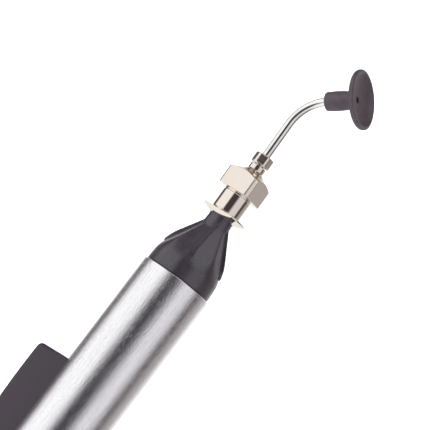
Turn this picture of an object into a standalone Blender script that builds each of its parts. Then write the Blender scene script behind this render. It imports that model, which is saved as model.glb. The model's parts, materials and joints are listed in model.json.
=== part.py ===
"""Vacuum pick-up pen: squeeze-bulb barrel with a side lever, Luer hub, bent tube and rubber cup.

The pen lies on its side, as it rests on a table. Its axis is the X axis, with the centre of the rear
cap's end face at the origin and the tip towards +X. The lever stands out on the +Y side, rolled down
until its edge touches the table. Sizes below are in millimetres and are scaled to metres by MM.
"""

from math import asin, atan2, cos, hypot, pi, radians, sin, tan

import bmesh
import bpy
from mathutils import Vector

MM = 0.001
MERGE = 0.00001  # merge distance in metres
GAP = 0.15       # seam between two faces that touch
SLIP = 0.05      # radial clearance of a close fit

# Barrel and rear cap
BARREL_R = 6.25
BARREL_WALL = 0.9
BORE_R = BARREL_R - BARREL_WALL
BARREL_REAR = 6.0
BARREL_FRONT = 94.0
BARREL_EDGE = 0.15
CAP_SPIGOT = 13.0
CAP_ROUND = 0.8
CAP_FLOOR = 2.4
CAP_HOLLOW_R = 4.1
CAP_GRIPS = (4.4, 3.3, 2.2)  # centres of the grip grooves
GRIP_DEPTH = 0.28
GRIP_HALF = 0.25
SPIGOT_R = BORE_R - 0.2
RING_GROOVE_R = 4.25
RING_GROOVE_W = 1.3
RING_R = 0.48
CAP_RING_X = 9.6
NOSE_RING_X = 89.6

# Nose: distances ahead of the barrel's front end, and radii
NOSE_BELL = [(0.15, 5.97), (1.1, 5.91), (2.1, 5.86), (2.7, 5.80), (3.3, 5.66), (4.0, 5.44),
             (4.6, 5.24), (5.2, 5.02), (5.9, 4.74), (6.5, 4.44)]
FACET_START = (6.4, 4.48)
FACET_END = (10.7, 2.08)
RIB_EDGE = [(3.95, 5.62), (4.5, 5.58), (5.0, 5.42), (5.5, 5.27), (5.95, 5.06), (6.4, 4.86), (11.0, 2.15)]
RIB_HALF = 0.24
RIB_ROLL = 8.0  # degrees from the top to a rib
NOSE_SPIGOT = 86.5
NOSE_BORE_R = 0.55
NOSE_BARB = [(83.9, 0.95), (83.9, 1.05), (82.7, 0.85)]
RIBS = 4
RIB_ROOT_R = 1.5
LUER_TIP = 18.4
LUER_TIP_R = 1.95
LUER_SLOPE = 0.03
NOZZLE_START = 9.0
NOZZLE_LEAN = radians(1.6)  # the nozzle, and the head on it, lean towards the lever's side
LEAN_POINT = 3.8            # where their axis leaves the barrel's axis

# Lever, its slot and its cross pin
LEVER_FRONT = 73.7
LEVER_REAR = 33.7
LEVER_HALF = 2.85
LEVER_TOP = 11.35
LEVER_CREST = 69.0
LEVER_CROWN_R = 150.0
LEVER_EDGE = 0.8
LEVER_LEAN = 0.4
SLOT_HALF = 3.05
SLOT_FRONT = 74.0
SLOT_REAR = 33.3
PIN_X = 36.5
PIN_Y = 2.3
PIN_R = 0.75
PIN_HALF = 5.6
EAR_R = 1.6
LEVER_UNDER = 4.0
PAD_Y = 2.1
PAD_ENDS = (46.4, 64.8)
TOE_Y = 3.6
TOE_X = 75.1
SPRING_BAY = 0.95

# Bulb, fittings and air tube; the bulb hangs below the barrel's axis, away from the lever
BULB_Y = -1.3
BULB_R = 3.1
BULB_WALL = 0.7
NECK_R = 2.0
NECK_BORE_R = 1.35
BULB_REAR = 42.4
BULB_FRONT = 71.6
CRADLE_R = BORE_R - 0.2
CRADLE_TROUGH = 3.3
CRADLE_WALL_Y = 1.0
CRADLE_REAR = 34.4
CRADLE_FRONT = 73.2
BARB_R = 0.95
BARB_BUMP = 1.05
TUBE_R = 1.7
TUBE_BORE_R = 1.12
TUBE_REAR = 73.1
TUBE_FRONT = 86.2
BAND_WALL = 0.4
FITTING_TIP = 76.8
FITTING_BORE_R = 0.5
TUBE_RISE = 5.8  # over this length the air tube climbs from the bulb's axis to the barrel's

# Return spring on the cross pin
SPRING_R = 1.2
SPRING_WIRE_R = 0.17
SPRING_PITCH = 0.42

# Hub: distances ahead of the barrel's front end
HUB_MOUTH = 12.25
LUG_R = 3.9
LUG_REAR = 12.9
LUG_FRONT = 13.15
LUG_EDGE = 0.1
LUG_WAIST = 2.62
SHANK_R = 2.52
BLOCK_START = 17.0
HUB_SHOULDER = [(21.62, 1.45), (21.3, 1.9), (20.9, 2.52), (20.5, 3.3), (20.2, 3.83)]
BLOCK_SHOULDER = 20.0
BLOCK_SIDE = 6.1
BLOCK_CORNER_R = 3.95
BLOCK_TURN = 4.0    # degrees from the bend's plane to the block's flats
WAIST_TURN = BLOCK_TURN - 90  # the lugs' waist lies flush with two of the block's sides
NECK_END = 22.6
HUB_NECK_R = 1.4
SOCKET_END = 19.4
FERRULE_END = 24.6
FERRULE_R = 1.65
FERRULE_ROUND = 0.3
FERRULE_FLATS = 6
FERRULE_FLAT_R = 1.52
FERRULE_TURN = -6.0  # degrees from the bend's plane to a flat

# Bent tube and cup
NEEDLE_R = 0.735
NEEDLE_BORE_R = 0.5
NEEDLE_START = 19.7
BEND_CORNER = 35.35
BEND_ANGLE = radians(60.0)
BEND_R = 7.3
BEND_LIFT = radians(34.0)  # how far the bend's plane stands above the table, on the -Y side
CUP_FACE = 10.35           # from the bend's corner to the cup's rim, along the tube
CUP_LENGTH = 6.25
CUP_R = 4.92
CUP_SLEEVE_R = 1.64
CUP_BACK = [(-0.72, 4.86), (-0.95, 4.66), (-1.12, 3.9), (-1.27, 3.0), (-1.4, 2.3), (-1.6, 1.86),
            (-1.95, 1.62), (-2.6, 1.56), (-4.2, CUP_SLEEVE_R)]  # behind the rim, and radii
CUP_BOWL = [(-1.0, 1.4), (-0.85, 2.5), (-0.58, 3.5), (-0.28, 4.15), (0, 4.5)]
CUP_HOLE_END = -3.0
CUP_AIR_R = 0.5
NEEDLE_END = 6.5

# Rolling the pen brings the lever's rounded edge down to the table
EDGE_REACH = hypot(LEVER_TOP - LEVER_EDGE, LEVER_HALF - LEVER_EDGE)
PEN_ROLL = (asin((BARREL_R - LEVER_EDGE) / EDGE_REACH)
            - atan2(LEVER_HALF - LEVER_EDGE, LEVER_TOP - LEVER_EDGE))

ALONG_PEN = (pi / 2, 0, pi / 2)  # turns local Z to +X, local X to +Y and local Y to +Z


def clear_scene():
    for item in list(bpy.data.objects):
        bpy.data.objects.remove(item, do_unlink=True)


def new_collection(name):
    collection = bpy.data.collections.new(name)
    bpy.context.scene.collection.children.link(collection)
    return collection


def make_material(name, colour, roughness, metallic):
    material = bpy.data.materials.new(name)
    material.use_nodes = True
    shader = next(n for n in material.node_tree.nodes if n.type == "BSDF_PRINCIPLED")
    shader.inputs["Base Color"].default_value = (*colour, 1.0)
    shader.inputs["Roughness"].default_value = roughness
    shader.inputs["Metallic"].default_value = metallic
    return material


def new_object(name, data, parent, rotation=(0, 0, 0), location=(0, 0, 0)):
    """Link an object to its parent empty; location is in millimetres."""
    item = bpy.data.objects.new(name, data)
    parts.objects.link(item)
    item.parent = parent
    item.rotation_euler = rotation
    item.location = Vector(location) * MM
    return item


def new_empty(name, parent, rotation=(0, 0, 0), location=(0, 0, 0)):
    return new_object(name, None, parent, rotation, location)


def finish(item, colour, roughness=0.5, metallic=0.0):
    """Give the piece its own material and smooth shading by angle."""
    item.data.materials.clear()
    item.data.materials.append(make_material(item.name, colour, roughness, metallic))
    item.data.shade_smooth()
    item.data.set_sharp_from_angle(angle=radians(35))
    return item


def as_cutter(item):
    """Move a solid out of the parts and hide it, for use by a Boolean."""
    parts.objects.unlink(item)
    cutters.objects.link(item)
    item.hide_render = True
    item.display_type = "WIRE"
    return item


def boolean(item, tool, operation):
    modifier = item.modifiers.new(tool.name, "BOOLEAN")
    modifier.operation = operation
    modifier.solver = "EXACT"
    modifier.object = tool
    return item


def cut(item, tool):
    return boolean(item, as_cutter(tool), "DIFFERENCE")


def join(item, tool):
    return boolean(item, as_cutter(tool), "UNION")


def arc(centre_along, centre_r, radius, start, end, steps):
    """Points of an arc in a profile; angles are in degrees from the along axis."""
    angles = [radians(start + (end - start) * k / steps) for k in range(steps + 1)]
    return [(centre_along + radius * cos(a), centre_r + radius * sin(a)) for a in angles]


def turned(name, profile, parent, sides=48, rotation=ALONG_PEN, location=(0, 0, 0)):
    """Turn a profile of (along, radius) points, given front to rear on its outer side.

    A profile that starts and ends on the axis makes a solid piece; any other is closed into a ring.
    """
    mesh = bpy.data.meshes.new(name)
    points = [(radius * MM, 0, along * MM) for along, radius in profile]
    edges = [(k, k + 1) for k in range(len(points) - 1)]
    if profile[0][1] > 0:
        edges.append((len(points) - 1, 0))
    mesh.from_pydata(points, edges, [])
    item = new_object(name, mesh, parent, rotation, location)
    screw = item.modifiers.new("Turn", "SCREW")
    screw.axis = "Z"
    screw.steps = sides
    screw.render_steps = sides
    screw.use_merge_vertices = True
    screw.merge_threshold = MERGE
    screw.use_smooth_shade = True
    return item


def rod(name, along_start, along_end, radius, parent, sides=32, **place):
    profile = [(along_end, 0), (along_end, radius), (along_start, radius), (along_start, 0)]
    return turned(name, profile, parent, sides, **place)


def box(name, low, high, parent):
    """A cuboid between two corners, in millimetres in its parent's frame."""
    mesh = bpy.data.meshes.new(name)
    shape = bmesh.new()
    bmesh.ops.create_cube(shape, size=1.0)
    size = [(b - a) * MM for a, b in zip(low, high)]
    bmesh.ops.scale(shape, vec=size, verts=shape.verts)
    shape.to_mesh(mesh)
    shape.free()
    return new_object(name, mesh, parent, location=[(a + b) / 2 for a, b in zip(low, high)])


def to_mesh(curve_item):
    """Replace a curve object by a mesh of it with welded caps, in the same place."""
    view = bpy.context.evaluated_depsgraph_get()
    name = curve_item.name
    mesh = bpy.data.meshes.new_from_object(curve_item.evaluated_get(view))
    shape = bmesh.new()
    shape.from_mesh(mesh)
    bmesh.ops.remove_doubles(shape, verts=shape.verts, dist=MERGE / 10)
    bmesh.ops.recalc_face_normals(shape, faces=shape.faces)
    shape.to_mesh(mesh)
    shape.free()
    parent, rotation = curve_item.parent, tuple(curve_item.rotation_euler)
    location = curve_item.location / MM
    bpy.data.objects.remove(curve_item, do_unlink=True)
    item = new_object(name, mesh, parent, rotation, location)
    item.data.name = name
    return item


def new_spline(curve, points, cyclic):
    spline = curve.splines.new("POLY")
    spline.points.add(len(points) - 1)
    for point, place in zip(spline.points, points):
        place = tuple(place) + (0,) * (3 - len(place))
        point.co = (place[0] * MM, place[1] * MM, place[2] * MM, 1)
    spline.use_cyclic_u = cyclic


def extruded(name, outline, thickness, parent, rotation=(0, 0, 0), location=(0, 0, 0)):
    """A flat closed outline with a thickness, centred on its own plane."""
    curve = bpy.data.curves.new(name, "CURVE")
    curve.dimensions = "2D"
    curve.fill_mode = "BOTH"
    curve.extrude = thickness * MM / 2
    new_spline(curve, outline, cyclic=True)
    return to_mesh(new_object(name, curve, parent, rotation, location))


def wire(name, path, radius, parent, resolution=2):
    """A round wire or solid tube along a path, with filled caps."""
    curve = bpy.data.curves.new(name, "CURVE")
    curve.dimensions = "3D"
    curve.bevel_depth = radius * MM
    curve.bevel_resolution = resolution
    curve.use_fill_caps = True
    new_spline(curve, path, cyclic=False)
    return new_object(name, curve, parent)


def hollow_tube(name, path, radius, bore_radius, parent, overrun):
    """A tube along a path whose ends are straight; its bore runs past both ends."""
    start, after = Vector(path[0]), Vector(path[1])
    end, before = Vector(path[-1]), Vector(path[-2])
    early = start - (after - start).normalized() * overrun
    late = end + (end - before).normalized() * overrun
    inner_path = [tuple(early), *path[1:-1], tuple(late)]
    tube = to_mesh(wire(name, path, radius, parent, resolution=4))
    bore = to_mesh(wire(name + "_bore", inner_path, bore_radius, parent, resolution=2))
    return cut(tube, bore)


def smoothstep(value):
    value = min(max(value, 0), 1)
    return value * value * (3 - 2 * value)


def tube_centre_y(along):
    """Height of the air tube's centre: from the bulb's axis up to the pen's axis."""
    return BULB_Y * (1 - smoothstep((along - FITTING_TIP) / TUBE_RISE))


def ring_groove(centre):
    """Profile points of an O-ring groove in a spigot, front to rear."""
    half = RING_GROOVE_W / 2
    return [(centre + half, SPIGOT_R), (centre + half, RING_GROOVE_R),
            (centre - half, RING_GROOVE_R), (centre - half, SPIGOT_R)]


def o_ring(name, centre):
    ring_centre = (RING_GROOVE_R + BORE_R) / 2
    section = arc(centre, ring_centre, RING_R, 0, 315, 7)
    return finish(turned(name, section, pen, sides=40), (0.02, 0.02, 0.02), 0.6)


def band(name, centre, width, inner_r, height=BULB_Y):
    """A spring band round a neck or a tube."""
    outer_r = inner_r + BAND_WALL
    low, high = centre - width / 2, centre + width / 2
    profile = [(high, inner_r), (high, outer_r), (low, outer_r), (low, inner_r)]
    item = turned(name, profile, pen, sides=24, location=(0, height, 0))
    return finish(item, (0.72, 0.73, 0.75), 0.3, 1.0)


def make_barrel():
    edge = BARREL_EDGE
    rear = BARREL_REAR + GAP
    profile = [(BARREL_FRONT, BARREL_R - edge), (BARREL_FRONT - edge, BARREL_R),
               (rear + edge, BARREL_R), (rear, BARREL_R - edge), (rear, BORE_R),
               (BARREL_FRONT, BORE_R)]
    barrel = turned("barrel_tube", profile, pen, sides=64)
    cut(barrel, box("lever_slot", (SLOT_REAR, 2, -SLOT_HALF), (SLOT_FRONT, 9, SLOT_HALF), pen))
    cut(barrel, rod("pin_hole", -8, 8, PIN_R + SLIP, pen, rotation=(0, 0, 0),
                    location=(PIN_X, PIN_Y, 0)))
    finish(barrel, (0.78, 0.79, 0.80), 0.38, 1.0)


def make_nose():
    front = BARREL_FRONT
    slope = (FACET_END[1] - FACET_START[1]) / (FACET_END[0] - FACET_START[0])

    def facet_r(ahead):
        return FACET_START[1] + slope * (ahead - FACET_START[0])

    outer = [(front + a, r) for a, r in reversed(NOSE_BELL)]
    tip = (front + FACET_END[0], FACET_END[1] + 0.1)
    spigot = [(front + GAP, SPIGOT_R), *ring_groove(NOSE_RING_X), (NOSE_SPIGOT, SPIGOT_R)]
    body = turned("nose_cone", [(tip[0], 0), tip, *outer, *spigot, (NOSE_SPIGOT, 0)], pen, sides=56)

    low, high = NOSE_BARB[-1][0] - front - 1, FACET_END[0] + 1
    facets = turned("nose_facets", [(high, 0), (high, facet_r(high)), (low, facet_r(low)), (low, 0)],
                    pen, sides=8, location=(front, 0, 0))
    facets.rotation_euler.rotate_axis("Z", PEN_ROLL + radians(90 - RIB_ROLL))
    boolean(body, as_cutter(facets), "INTERSECT")

    outline = [(front + a, r) for a, r in RIB_EDGE]
    outline += [(outline[-1][0], RIB_ROOT_R), (outline[0][0], RIB_ROOT_R)]
    for k in range(RIBS):
        rib = extruded(f"nose_rib_{k}", outline, 2 * RIB_HALF, pen)
        rib.rotation_euler.x = PEN_ROLL + radians(90 - RIB_ROLL + 360 * k / RIBS)
        join(body, rib)

    luer_root_r = LUER_TIP_R + LUER_SLOPE * (LUER_TIP - NOZZLE_START)
    nozzle = [(front + LUER_TIP, 0), (front + LUER_TIP, LUER_TIP_R - 0.12),
              (front + LUER_TIP - 0.15, LUER_TIP_R), (front + NOZZLE_START, luer_root_r),
              (front + NOZZLE_START, 0)]
    join(body, turned("nozzle", nozzle, leaning, sides=40, location=(-front, 0, 0)))
    barb = [(NOSE_SPIGOT + 1, 0), (NOSE_SPIGOT + 1, BARB_R), *NOSE_BARB, (NOSE_BARB[-1][0], 0)]
    join(body, turned("nose_barb", barb, pen, sides=24))
    cut(body, rod("nose_bore", NOSE_SPIGOT - 8, front + LEAN_POINT, NOSE_BORE_R, pen, sides=16))
    cut(body, rod("nozzle_bore", LEAN_POINT - 0.5, LUER_TIP + 2, NOSE_BORE_R * 0.98, leaning, sides=16))
    finish(body, (0.035, 0.034, 0.038), 0.42)


def make_rear_cap():
    outer = [(BARREL_REAR, SPIGOT_R), (BARREL_REAR, BARREL_R)]
    for centre in CAP_GRIPS:
        outer += [(centre + GRIP_HALF, BARREL_R), (centre, BARREL_R - GRIP_DEPTH),
                  (centre - GRIP_HALF, BARREL_R)]
    round_edge = arc(CAP_ROUND, BARREL_R - CAP_ROUND, CAP_ROUND, 90, 180, 4)
    hollow = [(CAP_FLOOR, 0), (CAP_FLOOR, CAP_HOLLOW_R), (CAP_SPIGOT, CAP_HOLLOW_R)]
    spigot = [(CAP_SPIGOT, SPIGOT_R), *ring_groove(CAP_RING_X)]
    cap = turned("rear_cap", [*hollow, *spigot, *outer, *round_edge, (0, 0)], pen, sides=48)
    finish(cap, (0.035, 0.034, 0.038), 0.42)


def make_cradle():
    """A trough under the bulb, with two ears that the cross pin goes through."""
    def wall_angle(height):
        return asin(height / CRADLE_R) * 180 / pi

    top = wall_angle(CRADLE_WALL_Y)
    trough_half = 3.2
    # Section in (Y, Z): round the bottom from the +Z wall to the -Z wall, and back along the trough
    outside = arc(0, 0, CRADLE_R, 90 - top, 270 + top, 20)
    inside = arc(BULB_Y, 0, CRADLE_TROUGH, 255, 105, 10)
    section = [*outside, (CRADLE_WALL_Y, -trough_half), *inside, (CRADLE_WALL_Y, trough_half)]
    length = CRADLE_FRONT - CRADLE_REAR
    middle = (CRADLE_FRONT + CRADLE_REAR) / 2
    cradle = extruded("bulb_cradle", section, length, pen, ALONG_PEN, (middle, 0, 0))

    ear_back, ear_front, ear_top, ear_in, ear_out = -1.9, 2.3, 1.6, 2.98, 4.25
    for side in (-1, 1):
        low_z, high_z = sorted((side * ear_in, side * ear_out))
        low = (PIN_X + ear_back, CRADLE_WALL_Y - 1.0, low_z)
        high = (PIN_X + ear_front, PIN_Y + ear_top - 0.9, high_z)
        join(cradle, box(f"cradle_ear_{side}", low, high, pen))
    cut(cradle, rod("cradle_pin_hole", -8, 8, PIN_R + SLIP, pen, rotation=(0, 0, 0),
                    location=(PIN_X, PIN_Y, 0)))
    finish(cradle, (0.60, 0.60, 0.58), 0.5)


def crown(along):
    """Height of the lever's crowned back over the pen's axis."""
    return LEVER_TOP - (along - LEVER_CREST) ** 2 / (2 * LEVER_CROWN_R)


def make_lever():
    """Press lever: crowned back, press pad over the bulb, toe under the barrel and ears on the pin."""
    front_top = LEVER_FRONT - LEVER_LEAN
    steps = 10
    backs = [LEVER_REAR + (front_top - LEVER_REAR) * k / steps for k in range(steps + 1)]
    back = [(x, crown(x)) for x in backs]
    under, pad, slope = LEVER_UNDER, PAD_Y, 0.8
    front = [(LEVER_FRONT, BARREL_R), (LEVER_FRONT, TOE_Y + 0.75), (TOE_X, TOE_Y + 0.75), (TOE_X, TOE_Y),
             (LEVER_FRONT - 0.7, TOE_Y), (LEVER_FRONT - 1.1, under)]
    below = [(PAD_ENDS[1] + slope, under), (PAD_ENDS[1], pad), (PAD_ENDS[0], pad),
             (PAD_ENDS[0] - slope, under), (PIN_X + 2.4, under)]
    ear = arc(PIN_X, PIN_Y, EAR_R, 20, -180, 12)
    outline = [*back, *front, *below, *ear, (LEVER_REAR, 3.4)]
    lever = extruded("press_lever", outline, 2 * LEVER_HALF, pen)

    # The edges of the back and of the front end are rounded
    shape = bmesh.new()
    shape.from_mesh(lever.data)
    weight = shape.edges.layers.float.new("bevel_weight_edge")
    inside_y = (BARREL_R - 0.01) * MM
    corners = (Vector((front_top, crown(front_top))) * MM, Vector((LEVER_REAR, crown(LEVER_REAR))) * MM)
    for edge in shape.edges:
        one, two = (v.co for v in edge.verts)
        outside = one.y > inside_y and two.y > inside_y
        across = abs(one.z - two.z) > MERGE
        at_corner = any((one.xy - c).length < MERGE for c in corners)
        if outside and (not across or at_corner) and (at_corner or abs(one.z) > MERGE):
            edge[weight] = 1.0
    shape.to_mesh(lever.data)
    shape.free()
    bevel = lever.modifiers.new("Round", "BEVEL")
    bevel.limit_method = "WEIGHT"
    bevel.width = LEVER_EDGE * MM
    bevel.segments = 4

    cut(lever, box("spring_bay", (34.5, -1, -SPRING_BAY), (41.2, under + 0.1, SPRING_BAY), pen))
    cut(lever, rod("lever_pin_hole", -8, 8, PIN_R + 2 * SLIP, pen, rotation=(0, 0, 0),
                   location=(PIN_X, PIN_Y, 0)))
    finish(lever, (0.03, 0.029, 0.031), 0.45)


def make_lever_pin():
    chamfer = 0.15
    half = PIN_HALF
    profile = [(half, 0), (half, PIN_R - chamfer), (half - chamfer, PIN_R), (chamfer - half, PIN_R),
               (-half, PIN_R - chamfer), (-half, 0)]
    pin = turned("lever_pin", profile, pen, sides=24, rotation=(0, 0, 0), location=(PIN_X, PIN_Y, 0))
    finish(pin, (0.62, 0.62, 0.63), 0.3, 1.0)


def make_return_spring():
    """Torsion spring on the pin: one leg lifts the lever, the other stands on the cradle's floor."""
    start, end = 90, 90 + 2 * 360 + 125
    count = 40
    coil = []
    for k in range(count + 1):
        angle = radians(start + (end - start) * k / count)
        offset = SPRING_PITCH * ((end - start) * k / count / 360 - (end - start) / 720)
        coil.append((PIN_X + SPRING_R * cos(angle), PIN_Y + SPRING_R * sin(angle), offset))
    upper = (PIN_X + 4.2, PIN_Y + SPRING_R, coil[0][2])
    last = radians(end)
    reach = 6.9
    lower = (coil[-1][0] - reach * sin(last), coil[-1][1] + reach * cos(last), coil[-1][2])
    spring = to_mesh(wire("return_spring", [upper, *coil, lower], SPRING_WIRE_R, pen, resolution=1))
    finish(spring, (0.6, 0.6, 0.62), 0.3, 1.0)


def make_bulb():
    flare = 1.7
    inner_r = BULB_R - BULB_WALL
    rear, front = BULB_REAR, BULB_FRONT
    neck = 2.9

    def shoulder(neck_r, body_r, start, direction):
        """Points of an S-shaped shoulder from a neck to the bulb's body."""
        return [(start + direction * flare * k / 4, neck_r + (body_r - neck_r) * smoothstep(k / 4))
                for k in range(5)]

    outer = [(front, NECK_R), *shoulder(NECK_R, BULB_R, front - neck, -1),
             *reversed(shoulder(NECK_R, BULB_R, rear + neck, 1)), (rear, NECK_R)]
    inner = [(rear, NECK_BORE_R), *shoulder(NECK_BORE_R, inner_r, rear + neck, 1),
             *reversed(shoulder(NECK_BORE_R, inner_r, front - neck, -1)), (front, NECK_BORE_R)]
    bulb = turned("squeeze_bulb", outer + inner, pen, sides=32, location=(0, BULB_Y, 0))
    finish(bulb, (0.55, 0.16, 0.10), 0.6)


def make_bulb_ends():
    stem_r = NECK_BORE_R - SLIP
    rear, front = BULB_REAR - 0.1, BULB_FRONT + 0.1
    plug = [(rear + 2.6, 0), (rear + 2.6, stem_r - 0.15), (rear + 2.4, stem_r), (rear, stem_r),
            (rear, NECK_R), (rear - 1.1, NECK_R), (rear - 1.1, 0)]
    finish(turned("bulb_end_plug", plug, pen, 24, location=(0, BULB_Y, 0)), (0.8, 0.79, 0.75), 0.4)
    bore, tip = FITTING_BORE_R, FITTING_TIP
    fitting = [(tip, bore), (tip, 0.85), (tip - 1.2, BARB_BUMP), (tip - 1.2, BARB_R), (front + 1.2, BARB_R),
               (front + 1.2, NECK_R), (front, NECK_R), (front, stem_r), (front - 2.6, stem_r),
               (front - 2.6, bore)]
    item = turned("bulb_front_fitting", fitting, pen, 24, location=(0, BULB_Y, 0))
    finish(item, (0.8, 0.79, 0.75), 0.4)
    band("bulb_clip_rear", BULB_REAR + 1.3, 1.2, NECK_R + SLIP)
    band("bulb_clip_front", BULB_FRONT - 1.3, 1.2, NECK_R + SLIP)


def make_air_tube():
    middle = [FITTING_TIP + TUBE_RISE * k / 8 for k in range(9)]
    path = [(x, tube_centre_y(x), 0) for x in (TUBE_REAR, *middle, TUBE_FRONT)]
    tube = hollow_tube("air_tube", path, TUBE_R, TUBE_BORE_R, pen, overrun=2)
    finish(tube, (0.75, 0.76, 0.74), 0.35)
    band("tube_clip_rear", 76.0, 1.1, TUBE_R + SLIP)
    band("tube_clip_front", 84.6, 1.1, TUBE_R + SLIP, height=0)


def flat_cutter(name, start, end, distance, turn):
    """A block that cuts a flat at that distance from the head's axis, turned that many degrees."""
    depth, half = 3.0, 6.0
    block = box(name, (start, 0, -half), (end, depth, half), head)
    angle, middle = radians(turn), distance + depth / 2
    block.location.y, block.location.z = middle * cos(angle) * MM, middle * sin(angle) * MM
    block.rotation_euler.x = angle
    return block


def make_hub():
    """Female Luer hub: lugs at the mouth, round shank, square block with a turned shoulder, neck."""
    mouth_r = LUER_TIP_R + LUER_SLOPE * (LUER_TIP - HUB_MOUTH) + SLIP
    end_r = LUER_TIP_R + LUER_SLOPE * (LUER_TIP - SOCKET_END) + SLIP
    tube_r = NEEDLE_R + SLIP
    edge = LUG_EDGE
    neck = [(NECK_END, tube_r), (NECK_END, HUB_NECK_R - edge), (NECK_END - edge, HUB_NECK_R),
            (HUB_SHOULDER[0][0] + edge, HUB_NECK_R)]
    block = [(BLOCK_SHOULDER, BLOCK_CORNER_R), (BLOCK_START + edge, BLOCK_CORNER_R),
             (BLOCK_START, BLOCK_CORNER_R - edge), (BLOCK_START, SHANK_R)]
    lugs = [(LUG_FRONT + 2 * edge, SHANK_R), (LUG_FRONT + edge, SHANK_R + edge),
            (LUG_FRONT, LUG_R - edge), (LUG_FRONT - edge, LUG_R), (LUG_REAR, LUG_R),
            (HUB_MOUTH, mouth_r + edge)]
    socket = [(HUB_MOUTH, mouth_r), (SOCKET_END, end_r), (SOCKET_END, tube_r)]
    profile = [*neck, *HUB_SHOULDER, *block, *lugs, *socket]
    hub = turned("luer_hub", profile, head, sides=48)
    flat = BLOCK_SIDE / 2
    for k in range(4):
        cut(hub, flat_cutter(f"block_flat_{k}", BLOCK_START - 0.5, NECK_END, flat, 90 * k + BLOCK_TURN))
    for k in range(2):
        cut(hub, flat_cutter(f"lug_waist_{k}", HUB_MOUTH - 1, LUG_FRONT + 1, LUG_WAIST,
                             180 * k + WAIST_TURN))
    finish(hub, (0.80, 0.76, 0.70), 0.18, 1.0)


def make_ferrule():
    start = NECK_END + GAP
    bore = NEEDLE_R + SLIP
    edge, rounding = LUG_EDGE, FERRULE_ROUND
    profile = [(FERRULE_END, bore), *arc(FERRULE_END - rounding, FERRULE_R - rounding, rounding, 0, 90, 3),
               (start + edge, FERRULE_R), (start, FERRULE_R - edge), (start, bore)]
    ferrule = turned("tube_ferrule", profile, head, sides=36)
    for k in range(FERRULE_FLATS):
        turn = 360 * k / FERRULE_FLATS + FERRULE_TURN
        cut(ferrule, flat_cutter(f"crimp_{k}", start - 1, FERRULE_END + 1, FERRULE_FLAT_R, turn))
    finish(ferrule, (0.80, 0.76, 0.70), 0.2, 1.0)


def make_needle():
    """Straight tube with one round bend, in the head's XY plane."""
    tangent = BEND_R * tan(BEND_ANGLE / 2)
    steps = 9
    centre = (BEND_CORNER - tangent, BEND_R)
    bend = [(centre[0] + BEND_R * sin(BEND_ANGLE * k / steps),
             centre[1] - BEND_R * cos(BEND_ANGLE * k / steps), 0) for k in range(steps + 1)]
    end = (BEND_CORNER + NEEDLE_END * cos(BEND_ANGLE), NEEDLE_END * sin(BEND_ANGLE), 0)
    path = [(NEEDLE_START, 0, 0), *bend, end]
    needle = hollow_tube("suction_tube", path, NEEDLE_R, NEEDLE_BORE_R, head, overrun=2)
    finish(needle, (0.62, 0.62, 0.63), 0.22, 1.0)


def make_cup():
    """Rubber cup on its own empty, whose X axis is the tube's end direction."""
    hole_r, end, edge = NEEDLE_R + SLIP, -CUP_LENGTH, 0.12
    rear = [(end + 0.5, CUP_SLEEVE_R - 0.04), (end + 0.15, CUP_SLEEVE_R - 0.24),
            (end, CUP_SLEEVE_R - 0.5), (end, hole_r)]
    hole = [(CUP_HOLE_END, hole_r), (CUP_HOLE_END, CUP_AIR_R), (CUP_BOWL[0][0] - 0.08, CUP_AIR_R)]
    rim = [(0, CUP_R - edge), (-edge, CUP_R)]
    cup = turned("suction_cup", [*rim, *CUP_BACK, *rear, *hole, *CUP_BOWL], cup_axis, sides=48)
    finish(cup, (0.035, 0.033, 0.035), 0.6)


clear_scene()
parts = new_collection("vacuum_pick_up_pen")
cutters = new_collection("cutters")
pen = new_empty("pen_axis", None, (-PEN_ROLL, 0, 0))
lean_point = new_empty("lean_point", None, (0, 0, NOZZLE_LEAN), (BARREL_FRONT + LEAN_POINT, 0, 0))
leaning = new_empty("nozzle_axis", lean_point, (0, 0, 0), (-LEAN_POINT, 0, 0))
head = new_empty("head_axis", leaning, (pi - BEND_LIFT, 0, 0))
cup_place = (BEND_CORNER + CUP_FACE * cos(BEND_ANGLE), CUP_FACE * sin(BEND_ANGLE), 0)
cup_axis = new_empty("cup_axis", head, (0, 0, BEND_ANGLE), cup_place)

make_barrel()
make_nose()
o_ring("nose_o_ring", NOSE_RING_X)
make_rear_cap()
o_ring("rear_cap_o_ring", CAP_RING_X)
make_cradle()
make_lever()
make_lever_pin()
make_return_spring()
make_bulb()
make_bulb_ends()
make_air_tube()
make_hub()
make_ferrule()
make_needle()
make_cup()
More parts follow.
